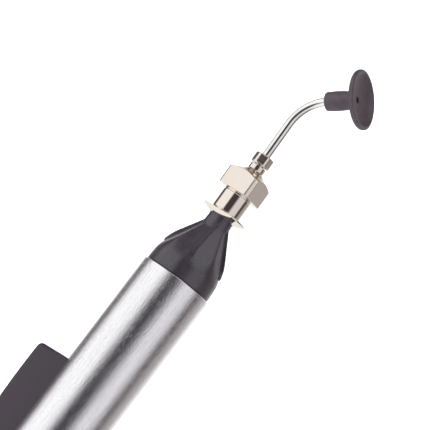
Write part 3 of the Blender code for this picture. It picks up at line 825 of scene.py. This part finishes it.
@dataclass
class Nose:
    """Moulded nose: an eight-sided cone cut out of a bell, four ribs, and the Luer nozzle."""

    layout: Layout
    bell: list[Corner] = field(default_factory=lambda: [
        (0.15, 5.94), (1.1, 5.91), (2.1, 5.86), (2.7, 5.80), (3.3, 5.66), (4.0, 5.44), (4.6, 5.24),
        (5.2, 5.02), (5.9, 4.74), (6.5, 4.44), (7.5, 3.87), (11.7, 1.53)])
    cone: tuple[float, float, float] = (6.4, 4.48, -0.558)  # ahead, radius there, slope
    sides: int = 8
    rib_edge: list[Corner] = field(default_factory=lambda: [
        (3.95, 5.62), (4.5, 5.58), (5.0, 5.42), (5.5, 5.27), (5.95, 5.06), (6.4, 4.86), (11.0, 2.15),
        (12.0, 1.56)])
    ribs: int = 4
    rib_half: float = 0.24
    rib_foot: float = 3.93
    rib_roll: float = radians(82.0)  # from the row frame's +Y
    nozzle_tip: float = 18.4
    nozzle_tip_radius: float = 1.95
    nozzle_slope: float = 0.03
    bore: float = 0.55
    ring_at: float = -4.4
    spigot_end: float = -7.5
    across_rib: tuple[float, ...] = (-2.7, -2.0, -1.55, -1.3, -1.16, -1.04, -0.92, -0.8, -0.6, -0.3,
                                     0.0, 0.3, 0.6, 0.8, 0.92, 1.04, 1.16, 1.3, 1.55, 2.0, 2.7)
    between_ribs: int = 26

    def build(self) -> None:
        """Build the nose and its O-ring."""
        nose = skin("nose_moulding", self._rings())
        finish = MouldedPlastic(specks=0.5)
        dress(nose, Body.BARREL, Slot.NOSE_PLASTIC, finish.material("nose_plastic"), "nose_cone")
        o_ring("nose_seal_ring", self.layout.pen, BARREL_FRONT + self.ring_at, Body.BARREL,
               "nose_o_ring")

    def _rib_half(self, ahead: float) -> float:
        """Give the ribs' half width, which swells to a teardrop above the foot."""
        swell = rise(ahead, 3.9, 4.15) * (1 - rise(ahead, 4.25, 5.7))
        return self.rib_half * (1 + 0.9 * float(swell))

    def _columns(self, ahead: float) -> tuple[Points, Points]:
        """Lay out one ring's columns so that they follow the ribs' straight sides.

        Args:
            ahead: The ring's place.

        Returns:
            The columns' angles from the row frame's +Y, and their offsets from the nearest rib's
            middle in half widths of it.
        """
        radius = float(np.interp(ahead, *zip(*self.bell)))
        near = np.array(self.across_rib)
        lateral = np.arcsin(np.clip(near * self._rib_half(ahead) / max(radius, 2.1), -0.9, 0.9))
        quadrant = TURN / self.ribs
        gap = np.linspace(lateral[-1], quadrant + lateral[0], self.between_ribs + 2)[1:-1]
        angles = np.concatenate([lateral, gap])
        offsets = np.concatenate([near, np.full(self.between_ribs, 9.0)])
        turns = self.rib_roll + np.arange(self.ribs) * quadrant
        return (turns[:, None] + angles).ravel(), np.tile(offsets, self.ribs)

    def _surface(self, ahead: float) -> tuple[Points, Points]:
        """Give one ring's column angles and radii.

        Args:
            ahead: The ring's place.

        Returns:
            The angles and the radii.
        """
        angles, offsets = self._columns(ahead)
        bell = float(np.interp(ahead, *zip(*self.bell)))
        start, start_radius, slope = self.cone
        facet = TURN / self.sides
        within = np.mod(angles - self.rib_roll, facet) - facet / 2
        cone = (start_radius + slope * (ahead - start)) * cos(facet / 2) / np.cos(within)
        body = soft_min(np.full_like(cone, bell), cone, 0.16)
        edge = float(np.interp(ahead, *zip(*self.rib_edge)))
        side = 1 - rise(np.abs(offsets), 0.78, 1.22)
        foot = rise(ahead, self.rib_foot, self.rib_foot + 0.14)
        body = body + np.maximum(edge - body, 0) * side * foot
        nozzle = self.nozzle_tip_radius + self.nozzle_slope * (self.nozzle_tip - ahead)
        offset = tan(self.layout.lean) * (ahead - self.layout.lean_start)
        nozzle = offset * np.cos(angles) + np.sqrt(nozzle ** 2 - (offset * np.sin(angles)) ** 2)
        return angles, soft_max(body, nozzle, 0.10) if ahead > 8 else body

    def _rings(self) -> list[Points]:
        """Lay out the nose's rings: the nozzle and bell, then the spigot and barb, then the bore."""
        row = Axis(self.layout.pen.origin, self.layout.pen.along, np.array([0.0, 1.0, 0.0]))
        rings: list[Points] = []

        def plain(ahead: float, radius: float) -> None:
            """Add a round ring, centred on the leaning axis ahead of where it starts."""
            angles, _ = self._columns(min(max(ahead, 0.15), 11.0))
            lift = tan(self.layout.lean) * max(ahead - self.layout.lean_start, 0.0)
            shifted = Axis(row.at(0.0, lift), row.along, row.zero)
            rings.append(shifted.ring(BARREL_FRONT + ahead, radius, angles))

        tip, radius = self.nozzle_tip, self.nozzle_tip_radius
        point = rounded([(tip, radius - 0.45), (tip, radius - 0.02, 0.12), (tip - 0.6, radius)])
        for ahead, size in point:
            plain(ahead, size)
        stations = np.concatenate([
            np.linspace(tip - 1.0, 12.4, 6), np.linspace(12.2, 10.2, 30), np.linspace(10.1, 4.3, 52),
            np.linspace(4.22, 3.86, 15), np.linspace(3.7, 0.3, 24)])
        for ahead in stations:
            angles, sizes = self._surface(float(ahead))
            rings.append(row.ring(BARREL_FRONT + ahead, sizes, angles))
        inside = rounded([
            (0.15, 5.90, 0.05), (0.15, SPIGOT), *seal_groove(self.ring_at),
            (self.spigot_end, SPIGOT, 0.25), (self.spigot_end, 0.95, 0.1), (-10.1, 0.95),
            (-10.1, 1.05, 0.04), (-11.3, 0.85, 0.1), (-11.3, self.bore), (3.8, self.bore),
            (tip, self.bore)], 4)
        for ahead, size in inside:
            plain(ahead, size)
        return rings


def seal_groove(along: float) -> list[Corner]:
    """Draw an O-ring's groove in a spigot's profile, from its front edge back."""
    front, rear = along + SEAL_HALF, along - SEAL_HALF
    return [(front, SPIGOT, 0.05), (front, SEAL_GROOVE, 0.1), (rear, SEAL_GROOVE, 0.1),
            (rear, SPIGOT, 0.05)]


def o_ring(name: str, axis: Axis, along: float, body: Body, node: str) -> None:
    """Make an O-ring in a spigot's groove.

    Args:
        name: The piece's name.
        axis: The axis that it lies round.
        along: Its place along the axis.
        body: The body that it rides on.
        node: The CAD node that it stands for.
    """
    profile = [(along + SEAL_SECTION * cos(a), SEAL_RADIUS + SEAL_SECTION * sin(a))
               for a in even_angles(20)]
    finish = MouldedRubber(colour=(0.018, 0.018, 0.019), roughness=0.45, pebble_depth=0.003)
    ring = turned(name, axis, profile, 128)
    dress(ring, body, Slot.SEAL_RUBBER, finish.material(name + "_rubber"), node)


@dataclass
class PressLever:
    """Press lever: crowned back with rounded edges, press pad, toe, spring bay and pin ears."""

    layout: Layout
    front: float = 73.7
    rear: float = 33.7
    half: float = 2.85
    top: float = 11.35
    crest: float = 69.0
    crown: float = 150.0
    edge: float = 0.8
    lean: float = 0.4
    under: float = 4.0
    pad: float = 2.1
    toe: float = 3.6
    ear: float = 1.6
    hole: float = 0.85
    toe_end: float = 75.1
    toe_top: float = 4.35
    toe_start: float = 73.0
    pad_ends: tuple[float, float] = (46.4, 64.8)
    pad_slope: float = 0.8
    web_rear: float = 38.9
    bay: tuple[float, float, float] = (34.5, 41.2, 0.95)

    def _back(self, along: float) -> float:
        """Give the height of the crowned back."""
        return self.top - (along - self.crest) ** 2 / (2 * self.crown)

    def _outline(self) -> list[Corner]:
        """Draw the lever's side view."""
        front_top, under = self.front - self.lean, self.under
        back = [(x, self._back(x)) for x in np.linspace(self.rear, front_top, 25)]
        rear_pad, front_pad = self.pad_ends
        inner = rounded([
            (self.front, 6.25), (self.front, self.toe_top, 0.1), (self.toe_end, self.toe_top, 0.15),
            (self.toe_end, self.toe, 0.15), (self.toe_start, self.toe),
            (self.toe_start - 0.4, under, 0.1), (front_pad + self.pad_slope, under, 0.4),
            (front_pad, self.pad, 0.4), (rear_pad, self.pad, 0.4),
            (rear_pad - self.pad_slope, under, 0.4), (self.web_rear, under)], 3)
        along, across = PIN_PLACE
        ear = [(along + self.ear * cos(a), across + self.ear * sin(a))
               for a in np.radians(np.linspace(20, -180, 21))]
        return [*back, *inner, *ear, (self.rear, 3.4)]

    def build(self) -> None:
        """Build the lever."""
        pen = self.layout.pen
        lever = slab("press_lever_moulding", pen, self._outline(), self.half)
        self._round(lever)
        rear, front, bay = self.bay
        cuts = [(rear, -1.0), (front, -1.0), (front, self.under + 0.1), (rear, self.under + 0.1)]
        bay_cutter = slab("bay_cutter", pen, cuts, bay)
        pin = Axis(pen.at(*PIN_PLACE), pen.quarter, pen.along)
        carve(lever, [bay_cutter, hole_cutter("lever_hole_cutter", pin, self.hole)])
        finish = MouldedPlastic(colour=(0.026, 0.019, 0.027), roughness=0.46, specular=0.38,
                                grain_scale=9.0, grain_depth=0.003, mottling=0.12)
        dress(lever, Body.LEVER, Slot.LEVER_PLASTIC, finish.material("lever_plastic"), "press_lever")

    def _round(self, lever: bpy.types.Object) -> None:
        """Round the edges of the back and of the ends that stand out of the barrel."""
        pen = self.layout.pen
        tips = [pen.at(x, self._back(x)) for x in (self.front - self.lean, self.rear)]
        shape = bmesh.new()
        shape.from_mesh(lever.data)
        chosen = []
        for edge in shape.edges:
            ends = [np.array(v.co) / MM for v in edge.verts]
            heights = [p @ pen.zero for p in ends]
            across = abs((ends[0] - ends[1]) @ pen.quarter) > 1.0
            on_tip = any(np.linalg.norm(p - t - pen.quarter * ((p - t) @ pen.quarter)) < 0.01
                         for p in ends[:1] for t in tips)
            if min(heights) > 6.2 and (on_tip if across else True):
                chosen.append(edge)
        bmesh.ops.bevel(shape, geom=chosen, offset=self.edge * MM, segments=7, profile=0.5,
                        affect="EDGES", clamp_overlap=False)
        bmesh.ops.recalc_face_normals(shape, faces=shape.faces)
        shape.to_mesh(lever.data)
        shape.free()


@dataclass
class LuerHub:
    """Nickel-plated hub: Luer lugs and socket, round shank, square block and turned neck."""

    layout: Layout
    lug: float = 3.9
    lug_tip: tuple[float, float] = (12.9, 13.15)
    mouth: float = 12.25
    flank: float = 0.4
    lug_edge: float = 0.05
    root: float = 13.36
    shank_start: float = 13.6
    waist: float = 2.62
    waist_turn: float = radians(-86.0)
    shank: float = 2.52
    undercut: float = 2.44
    block_start: float = 17.0
    shoulder: list[Corner] = field(default_factory=lambda: [
        (20.02, 3.97), (20.2, 3.83), (20.5, 3.3), (20.9, 2.52), (21.3, 1.9), (21.62, 1.46)])
    flat: float = 3.05
    corner: float = 3.95
    block_edge: float = 0.09
    block_turn: float = radians(4.0)
    neck: float = 1.4
    neck_end: float = 22.6
    socket_mouth: float = 2.185
    socket_end: tuple[float, float] = (19.4, 1.97)
    tube_hole: float = 0.785

    def _columns(self) -> Points:
        """Space the columns closely at the block's corners."""
        corner = acos(self.flat / self.corner)
        face = np.linspace(-corner + 0.05, corner - 0.05, 44)
        strip = np.linspace(corner - 0.05, pi / 2 - corner + 0.05, 26)[1:-1]
        quadrant = np.concatenate([face, strip])
        return (self.block_turn + np.arange(4)[:, None] * pi / 2 + quadrant).ravel()

    def build(self) -> None:
        """Build the hub."""
        angles = self._columns()
        waist = self.waist / np.maximum(np.abs(np.cos(angles - self.waist_turn)), 0.3)
        outline = soft_min(np.full_like(angles, self.lug), waist, 0.06)
        from_flat = np.mod(angles - self.block_turn + pi / 4, pi / 2) - pi / 4
        square = soft_min(np.full_like(angles, self.corner), self.flat / np.cos(from_flat), 0.05)
        sections = [*self._lug_sections(outline), *self._block_sections(square), *self._neck_sections()]
        head = self.layout.head
        hub = skin("luer_hub_plated", [head.ring(along, size, angles) for along, size in sections])
        dress(hub, Body.HEAD, Slot.NICKEL, PlatedNickel().material("hub_nickel"), "luer_hub")

    def _lug_sections(self, outline: Points) -> list[tuple[Points, Points]]:
        """Lay out the sections from the socket's mouth over the lugs to the shank's front end.

        Args:
            outline: The lugs' radius at each column.

        Returns:
            Each section's place along the head and its radius, as numbers or by column.
        """
        mouth, edge = self.mouth, self.lug_edge
        rear, front = self.lug_tip[0] - self.flank * (self.lug - outline), self.lug_tip[1]
        root = np.minimum(outline, self.shank + 0.02)
        out = [(mouth + 0.05, self.socket_mouth), (mouth, self.socket_mouth + 0.05)]
        for share in np.linspace(0, 0.95, 8):
            reach = self.socket_mouth + 0.1 + (outline - self.socket_mouth - 0.1) * share
            out.append((mouth + 0.02 + (rear - mouth - 0.02) * share, reach))
        for share in np.linspace(0, 1, 4):
            out.append((rear + edge * share ** 2, outline - edge * (1 - share) ** 2))
        for share in np.linspace(0, 1, 4):
            out.append((front - edge * (1 - share) ** 2, outline - edge * share ** 2))
        for share in np.linspace(0.1, 0.9, 5):
            out.append((front + 0.16 * share, outline - edge + (root - outline + edge) * share))
        for share in np.linspace(0, 1, 4):
            out.append((self.root + 0.12 * share ** 2, root + (self.shank - root) * share))
        shank = np.linspace(self.shank_start, self.block_start - 0.42, 22)
        return [*out, *((along, self.shank) for along in shank)]

    def _block_sections(self, square: Points) -> list[tuple[Points, Points]]:
        """Lay out the sections of the undercut, the block's faces and the turned shoulder.

        Args:
            square: The block's radius at each column.

        Returns:
            The sections, as above.
        """
        start, undercut, edge = self.block_start, self.undercut, self.block_edge
        out = [(start - 0.37, self.shank - 0.04), (start - 0.30, undercut), (start - 0.16, undercut)]
        for share in np.linspace(0, 1, 4):
            out.append((start - 0.12 + 0.12 * (1 - (1 - share) ** 2), undercut + 0.08 * share ** 2))
        for share in np.linspace(0.1, 0.9, 5):
            out.append((start, undercut + 0.08 + (square - edge - undercut - 0.08) * share))
        for share in np.linspace(0, 1, 6):
            turn = share * pi / 2
            out.append((start + edge * (1 - cos(turn)), square - edge + edge * sin(turn)))
        sides = np.linspace(start + 0.3, self.shoulder[0][0] - 0.05, 14)
        shoulder = ((along, soft_min(np.full_like(square, radius), square, 0.04))
                    for along, radius in flowing(self.shoulder, 10)[1:])
        return [*out, *((along, square) for along in sides), *shoulder]

    def _neck_sections(self) -> list[tuple[Points, Points]]:
        """Lay out the sections of the neck, the tube's hole and the socket's end."""
        end, hole = self.neck_end, self.tube_hole
        neck = rounded([(21.66, 1.42), (21.74, self.neck, 0.04), (end, self.neck, 0.12),
                        (end, hole + 0.1), (end - 0.1, hole)], 4)[1:]
        socket, radius = self.socket_end
        return [*neck, (socket, hole), (socket, radius), (socket - 0.1, radius)]


@dataclass
class Ferrule:
    """Collar swaged onto the hub's neck with six flats, and the tube's solder fillet."""

    layout: Layout
    start: float = 22.75
    end: float = 24.6
    radius: float = 1.65
    flat: float = 1.52
    flats: int = 6
    flat_turn: float = radians(-6.0)
    bore: float = 0.785

    def build(self) -> None:
        """Build the collar."""
        angles, head = even_angles(180), self.layout.head
        facet = TURN / self.flats
        within = np.mod(angles - self.flat_turn + facet / 2, facet) - facet / 2
        flats = self.flat / np.cos(within)
        profile = rounded([
            (self.end, self.bore + 0.05), (self.end, self.radius, 0.22),
            (self.start, self.radius, 0.14), (self.start, self.bore + 0.05), (self.start + 0.05, self.bore),
            (self.end - 0.05, self.bore)], 6)
        sides = [(along, self.radius) for along in np.linspace(self.end - 0.24, self.start + 0.16, 26)]
        at = next(k for k, p in enumerate(profile) if p[0] < self.end - 0.3)
        rings = []
        for along, radius in [*profile[:at], *sides, *profile[at:]]:
            pressed = rise(along, self.start + 0.10, self.start + 0.34)
            pressed = pressed * (1 - rise(along, self.end - 0.22, self.end - 0.04))
            size = np.full_like(angles, radius)
            if radius > self.flat - 0.3:
                cut = soft_min(size, flats, 0.03)
                size = size + (cut - size) * float(pressed)
            rings.append(head.ring(along, size, angles))
        collar = skin("ferrule_crimped", rings)
        finish = PlatedNickel(milled=(22.9, 24.5), flat_roughness=0.16)
        dress(collar, Body.HEAD, Slot.NICKEL, finish.material("ferrule_nickel"), "tube_ferrule")


@dataclass
class SuctionTube:
    """Drawn steel tube with one round bend."""

    layout: Layout
    radius: float = 0.735
    bore: float = 0.5
    start: float = 19.7
    bend_radius: float = 7.3
    past_corner: float = 6.5

    def build(self) -> None:
        """Build the tube."""
        head, bend, corner = self.layout.head, self.layout.bend, self.layout.corner
        tangent = self.bend_radius * tan(bend / 2)
        centre = corner - tangent
        straight = [head.at(a) for a in np.linspace(self.start, centre, 14)[:-1]]
        curve = [head.at(centre + self.bend_radius * sin(a), self.bend_radius * (1 - cos(a)))
                 for a in np.linspace(0, bend, 44)]
        last = [head.at(corner + s * cos(bend), s * sin(bend))
                for s in np.linspace(tangent, self.past_corner, 6)[1:]]
        path = np.array([*straight, *curve, *last])
        tube = swept("suction_tube_bent", path, head.quarter, self.radius, self.bore, 48)
        dress(tube, Body.HEAD, Slot.STEEL, DrawnSteel().material("tube_steel"), "suction_tube")


@dataclass
class SuctionCup:
    """Moulded rubber cup: sleeve, domed back, thick edge and shallow bowl."""

    layout: Layout
    radius: float = 4.90
    length: float = 6.40
    sleeve: float = 1.64
    hole: float = 0.785

    def build(self) -> None:
        """Build the cup; the profile's zero is its face."""
        end, sleeve = -self.length, self.sleeve
        back = flowing([(-0.48, self.radius), (-0.72, 4.78), (-0.92, 4.50), (-1.12, 3.8), (-1.27, 3.0),
                        (-1.38, 2.3), (-1.52, 1.86), (-1.85, 1.60), (-2.6, 1.55), (-3.5, 1.61),
                        (-4.5, sleeve), (end + 0.5, sleeve - 0.05)])
        rear = rounded([back[-1], (end + 0.05, sleeve - 0.1, 0.28), (end, self.hole, 0.06),
                        (-3.0, self.hole), (-3.0, 0.5), (-1.08, 0.5, 0.05)])
        bowl = flowing([(-1.05, 0.60), (-1.0, 1.4), (-0.85, 2.5), (-0.58, 3.5), (-0.34, 3.92),
                        (-0.10, 4.28)])
        lip = rounded([bowl[-1], (0.0, 4.40, 0.08), (0.0, self.radius, 0.24), back[0]])
        cup = turned("suction_cup_rubber", self.layout.cup, [*back, *rear[1:], *bowl, *lip[1:-1]], 144)
        dress(cup, Body.CUP, Slot.CUP_RUBBER, MouldedRubber().material("cup_rubber"), "suction_cup")


@dataclass
class RearCap:
    """Pull-off rear cap with three grip grooves, and its O-ring."""

    layout: Layout
    radius: float = 6.25
    ring_at: float = 9.6
    grips: tuple[float, ...] = (4.4, 3.3, 2.2)

    def build(self) -> None:
        """Build the cap and its O-ring."""
        grips = [point for x in self.grips
                 for point in ((x + 0.27, self.radius, 0.08), (x, self.radius - 0.28, 0.12),
                               (x - 0.27, self.radius, 0.08))]
        profile = rounded([
            (2.4, 0.0), (2.4, 4.1, 0.3), (13.0, 4.1, 0.1), (13.0, SPIGOT, 0.25),
            *seal_groove(self.ring_at), (6.0, SPIGOT, 0.05), (6.0, self.radius, 0.12), *grips,
            (0.0, self.radius, 0.8), (0.0, 0.0)])
        cap = turned("rear_cap_moulding", self.layout.pen, profile, 160)
        dress(cap, Body.REAR_CAP, Slot.NOSE_PLASTIC, MouldedPlastic().material("cap_plastic"),
              "rear_cap")
        o_ring("rear_cap_seal_ring", self.layout.pen, self.ring_at, Body.REAR_CAP, "rear_cap_o_ring")


@dataclass
class Internals:
    """The bulb and the air tube, and finishes for the CAD pieces round them."""

    layout: Layout
    bulb_drop: float = -1.3
    tube_span: tuple[float, float] = (73.1, 86.2)
    rise_span: tuple[float, float] = (76.8, 82.6)

    def build(self) -> None:
        """Build the bulb and the air tube, and paint the CAD pieces."""
        self._bulb()
        self._air_tube()
        self._paint()

    def _bulb(self) -> None:
        """Make the squeeze bulb, with a narrow neck at each end."""
        rear, front = 42.4, 71.6
        outer = flowing([(front - 0.2, 2.0), (front - 2.9, 2.0), (front - 3.5, 2.35), (front - 4.3, 2.95),
                         (front - 5.2, 3.1), (rear + 5.2, 3.1), (rear + 4.3, 2.95), (rear + 3.5, 2.35),
                         (rear + 2.9, 2.0), (rear + 0.2, 2.0)])
        inner = flowing([(rear, 1.45), (rear + 0.2, 1.35), (rear + 3.0, 1.35), (rear + 4.0, 2.0),
                         (rear + 5.0, 2.4), (front - 5.0, 2.4), (front - 4.0, 2.0), (front - 3.0, 1.35),
                         (front - 0.2, 1.35), (front, 1.45)])
        profile = [(front, 1.9), *outer, (rear, 1.9), *inner]
        bulb = turned("squeeze_bulb_rubber", self.layout.pen.moved(0.0, self.bulb_drop), profile, 96)
        finish = MouldedRubber(colour=(0.50, 0.13, 0.08), roughness=0.5, pebble_depth=0.006, dust=0.15)
        dress(bulb, Body.BARREL, Slot.BULB_RUBBER, finish.material("bulb_rubber"), "squeeze_bulb")

    def _air_tube(self) -> None:
        """Make the silicone tube, which rises from the bulb's axis to the pen's."""
        along = np.linspace(*self.tube_span, 40)
        heights = self.bulb_drop * (1 - rise(along, *self.rise_span))
        path = np.array([self.layout.pen.at(a, h) for a, h in zip(along, heights)])
        tube = swept("air_tube_silicone", path, self.layout.pen.quarter, 1.7, 1.12, 48)
        finish = MouldedRubber(colour=(0.72, 0.73, 0.70), roughness=0.35, pebble_depth=0.002, dust=0.06,
                               clear=0.4)
        dress(tube, Body.BARREL, Slot.SILICONE, finish.material("air_silicone"), "air_tube")

    @staticmethod
    def _paint() -> None:
        """Give the CAD pieces that are shown their finishes."""
        grey = MouldedPlastic(colour=(0.55, 0.55, 0.53), roughness=0.5, mottling=0.1)
        white = MouldedPlastic(colour=(0.78, 0.77, 0.72), roughness=0.4, mottling=0.06)
        spring = DrawnSteel(colour=(0.62, 0.61, 0.60), roughness=0.22, stretch=(1.0, 1.0, 0.2))
        finishes = {"bulb_cradle": grey, "bulb_end_plug": white, "bulb_front_fitting": white,
                    "return_spring": spring, "bulb_clip_rear": spring, "bulb_clip_front": spring,
                    "tube_clip_rear": spring, "tube_clip_front": spring}
        for node, finish in finishes.items():
            material = finish.material(node + "_finish")
            for slot in frame["nodes"][node].material_slots:
                slot.material = material
            LOG.info("%s: CAD piece finished", node)


# ---------------------------------------------------------------------------------------------------
# Studio
# ---------------------------------------------------------------------------------------------------


@dataclass
class Studio:
    """White table, surroundings with bands of light for reflections, two softboxes and the camera.

    Attributes:
        ahead_bands: The light that polished metal mirrors from ahead of the pen, by direction:
            degrees from straight up, to the lever's side, and a colour.
        bands: The light that it mirrors from the pen's sides.
    """

    table: float = -6.25
    target: tuple[float, float, float] = (106.1, 1.4, 0.0)
    distance: float = 350.0
    tilt: float = radians(6.5)
    roll: float = radians(37.2)
    view_width: float = 68.91
    table_half: float = 3000.0
    softboxes: dict = field(default_factory=lambda: {  # place, side and power in watts
        "left_softbox": ((70.0, 260.0, 260.0), 260.0, 1.6),
        "right_softbox": ((110.0, -300.0, 200.0), 240.0, 0.7)})
    softbox_aim: tuple[float, float, float] = (90.0, 0.0, 0.0)
    ahead_bands: list[tuple[float, Colour]] = field(default_factory=lambda: [
        (-180, (0.28, 0.22, 0.19)), (-95, (0.30, 0.23, 0.20)), (-70, (0.45, 0.42, 0.42)),
        (-55, (1.1, 1.1, 1.12)), (-4, (1.1, 1.1, 1.12)), (7, (0.22, 0.21, 0.23)),
        (85, (0.22, 0.21, 0.23)), (100, (0.10, 0.085, 0.10)), (180, (0.13, 0.11, 0.11))])
    bands: list[tuple[float, Colour]] = field(default_factory=lambda: [
        (-180, (0.95,) * 3), (-142, (0.95,) * 3), (-132, (0.48, 0.45, 0.455)), (-101, (0.37, 0.34, 0.345)),
        (-91, (0.09, 0.07, 0.065)), (-75, (0.08, 0.065, 0.065)), (-69, (0.72, 0.71, 0.73)),
        (-25, (0.76, 0.75, 0.77)), (-10, (0.055, 0.045, 0.055)), (29, (0.055, 0.045, 0.055)),
        (38, (1.0,) * 3), (108, (1.02,) * 3), (118, (0.12, 0.10, 0.10)), (146, (0.12, 0.10, 0.10)),
        (156, (0.9,) * 3), (180, (0.95,) * 3)])

    def build(self) -> None:
        """Make the table, the light and the camera."""
        self._make_table()
        self._make_world()
        for name, (place, size, power) in self.softboxes.items():
            self._make_softbox(name, place, size, power)
        self._make_camera()
        bpy.context.scene.view_settings.view_transform = "Standard"

    def _make_table(self) -> None:
        """Make the pale table top."""
        mesh = bpy.data.meshes.new("table_top")
        corners = [(x * self.table_half * MM, y * self.table_half * MM, self.table * MM)
                   for x, y in ((-1, -1), (1, -1), (1, 1), (-1, 1))]
        mesh.from_pydata(corners, [], [(0, 1, 2, 3)])
        table = new_piece("table_top", mesh)
        graph = Graph(bpy.data.materials.new("table_white"))
        tone = graph.noise(graph.place(), 0.02, 2.0).blend((0.90, 0.90, 0.90), (0.92, 0.92, 0.92))
        mesh.materials.append(graph.finish(Base_Color=tone, Roughness=0.9, Emission_Color=(1.0, 1.0, 1.0),
                                           Emission_Strength=0.55))
        table.visible_glossy = False
        table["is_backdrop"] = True

    def _make_world(self) -> None:
        """Make the surroundings: white to the camera, soft grey light, and bands for reflections."""
        graph = Graph(bpy.data.worlds.new("studio"))
        toward = graph.node("ShaderNodeTexCoord", output="Generated")
        x, y, z = (graph.node("ShaderNodeSeparateXYZ", None, {"Vector": toward}, name) for name in "XYZ")
        angle = graph.node("ShaderNodeMath", {"operation": "ARCTAN2"}, {0: y, 1: z})
        sides, front = (self._band_ramp(graph, angle, b) for b in (self.bands, self.ahead_bands))
        mirrored = graph.node("ShaderNodeLightPath", output="Is Glossy Ray")
        seen = graph.node("ShaderNodeLightPath", output="Is Camera Ray")
        ahead = x.step(0.45, 0.75)
        behind = (-1.0 * x).step(0.55, 0.85) * z.step(-0.5, -0.1)
        mirror = behind.blend(ahead.blend(sides, front), (0.96, 0.95, 0.94))
        light = mirrored.blend((0.85, 0.85, 0.86), mirror * 1.06)
        light = seen.blend(light, (1.0, 1.0, 1.0))
        shader = graph.node("ShaderNodeBackground", None, {"Color": light, "Strength": 1.0})
        graph.node("ShaderNodeOutputWorld", None, {"Surface": shader})
        bpy.context.scene.world = graph.owner

    @staticmethod
    def _band_ramp(graph: Graph, angle: Signal, bands: list[tuple[float, Colour]]) -> Signal:
        """Look the light of a direction up.

        Args:
            graph: The world's graph.
            angle: The direction's angle from straight up, in radians.
            bands: Colours by angle, in degrees.

        Returns:
            The colour.
        """
        stops = [(0.5 + place / 360, colour) for place, colour in bands]
        inputs = {"Fac": 0.5 + angle * (1 / TURN)}
        return graph.node("ShaderNodeValToRGB", {"stops": stops}, inputs, "Color")

    def _make_softbox(self, name: str, place: tuple[float, float, float], size: float,
                      power: float) -> None:
        """Make a square softbox that lights the pen but isn't mirrored in it.

        Args:
            name: The light's name.
            place: Where it stands.
            size: The length of its side.
            power: Its power in watts.
        """
        data = bpy.data.lights.new(name, "AREA")
        data.shape, data.size, data.energy = "SQUARE", size * MM, power
        light = bpy.data.objects.new(name, data)
        light.location = Vector(place) * MM
        aim = Vector(self.softbox_aim) * MM - light.location
        light.rotation_euler = aim.to_track_quat("-Z", "Y").to_euler()
        light.visible_camera = light.visible_glossy = False
        bpy.context.scene.collection.objects.link(light)

    def _make_camera(self) -> None:
        """Make the camera, which looks down on the front half of the pen."""
        t, a = self.tilt, self.roll
        back = np.array([-sin(t), 0.0, cos(t)])
        flat, left = np.array([cos(t), 0.0, sin(t)]), np.array([0.0, 1.0, 0.0])
        right, up = sin(a) * flat - cos(a) * left, cos(a) * flat + sin(a) * left
        data = bpy.data.cameras.new("camera")
        data.sensor_width = 36.0
        data.lens = data.sensor_width * self.distance / self.view_width
        data.clip_start, data.clip_end = 0.01, 20.0
        camera = bpy.data.objects.new("camera", data)
        spot = (np.array(self.target) + back * self.distance) * MM
        turn = np.array([right, up, back]).T
        camera.matrix_world = Matrix.Translation(Vector(spot)) @ Matrix(turn.tolist()).to_4x4()
        bpy.context.scene.collection.objects.link(camera)
        bpy.context.scene.camera = camera


def main() -> None:
    """Build the pen's pieces and the studio."""
    logging.basicConfig(level=logging.INFO, format="%(name)s: %(message)s", stream=sys.stdout)
    layout = Layout.from_frame()
    for part in (Barrel, Nose, PressLever, LuerHub, Ferrule, SuctionTube, SuctionCup, RearCap, Internals):
        LOG.info("building %s", part.__name__)
        part(layout).build()
    Studio().build()
    boxes = {name: [list(corner) for corner in box]
             for name, box in (("cad", CAD_BOX), ("visual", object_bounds()))}
    LOG.info("boxes: %s", boxes)


if __name__ == "__main__":
    main()
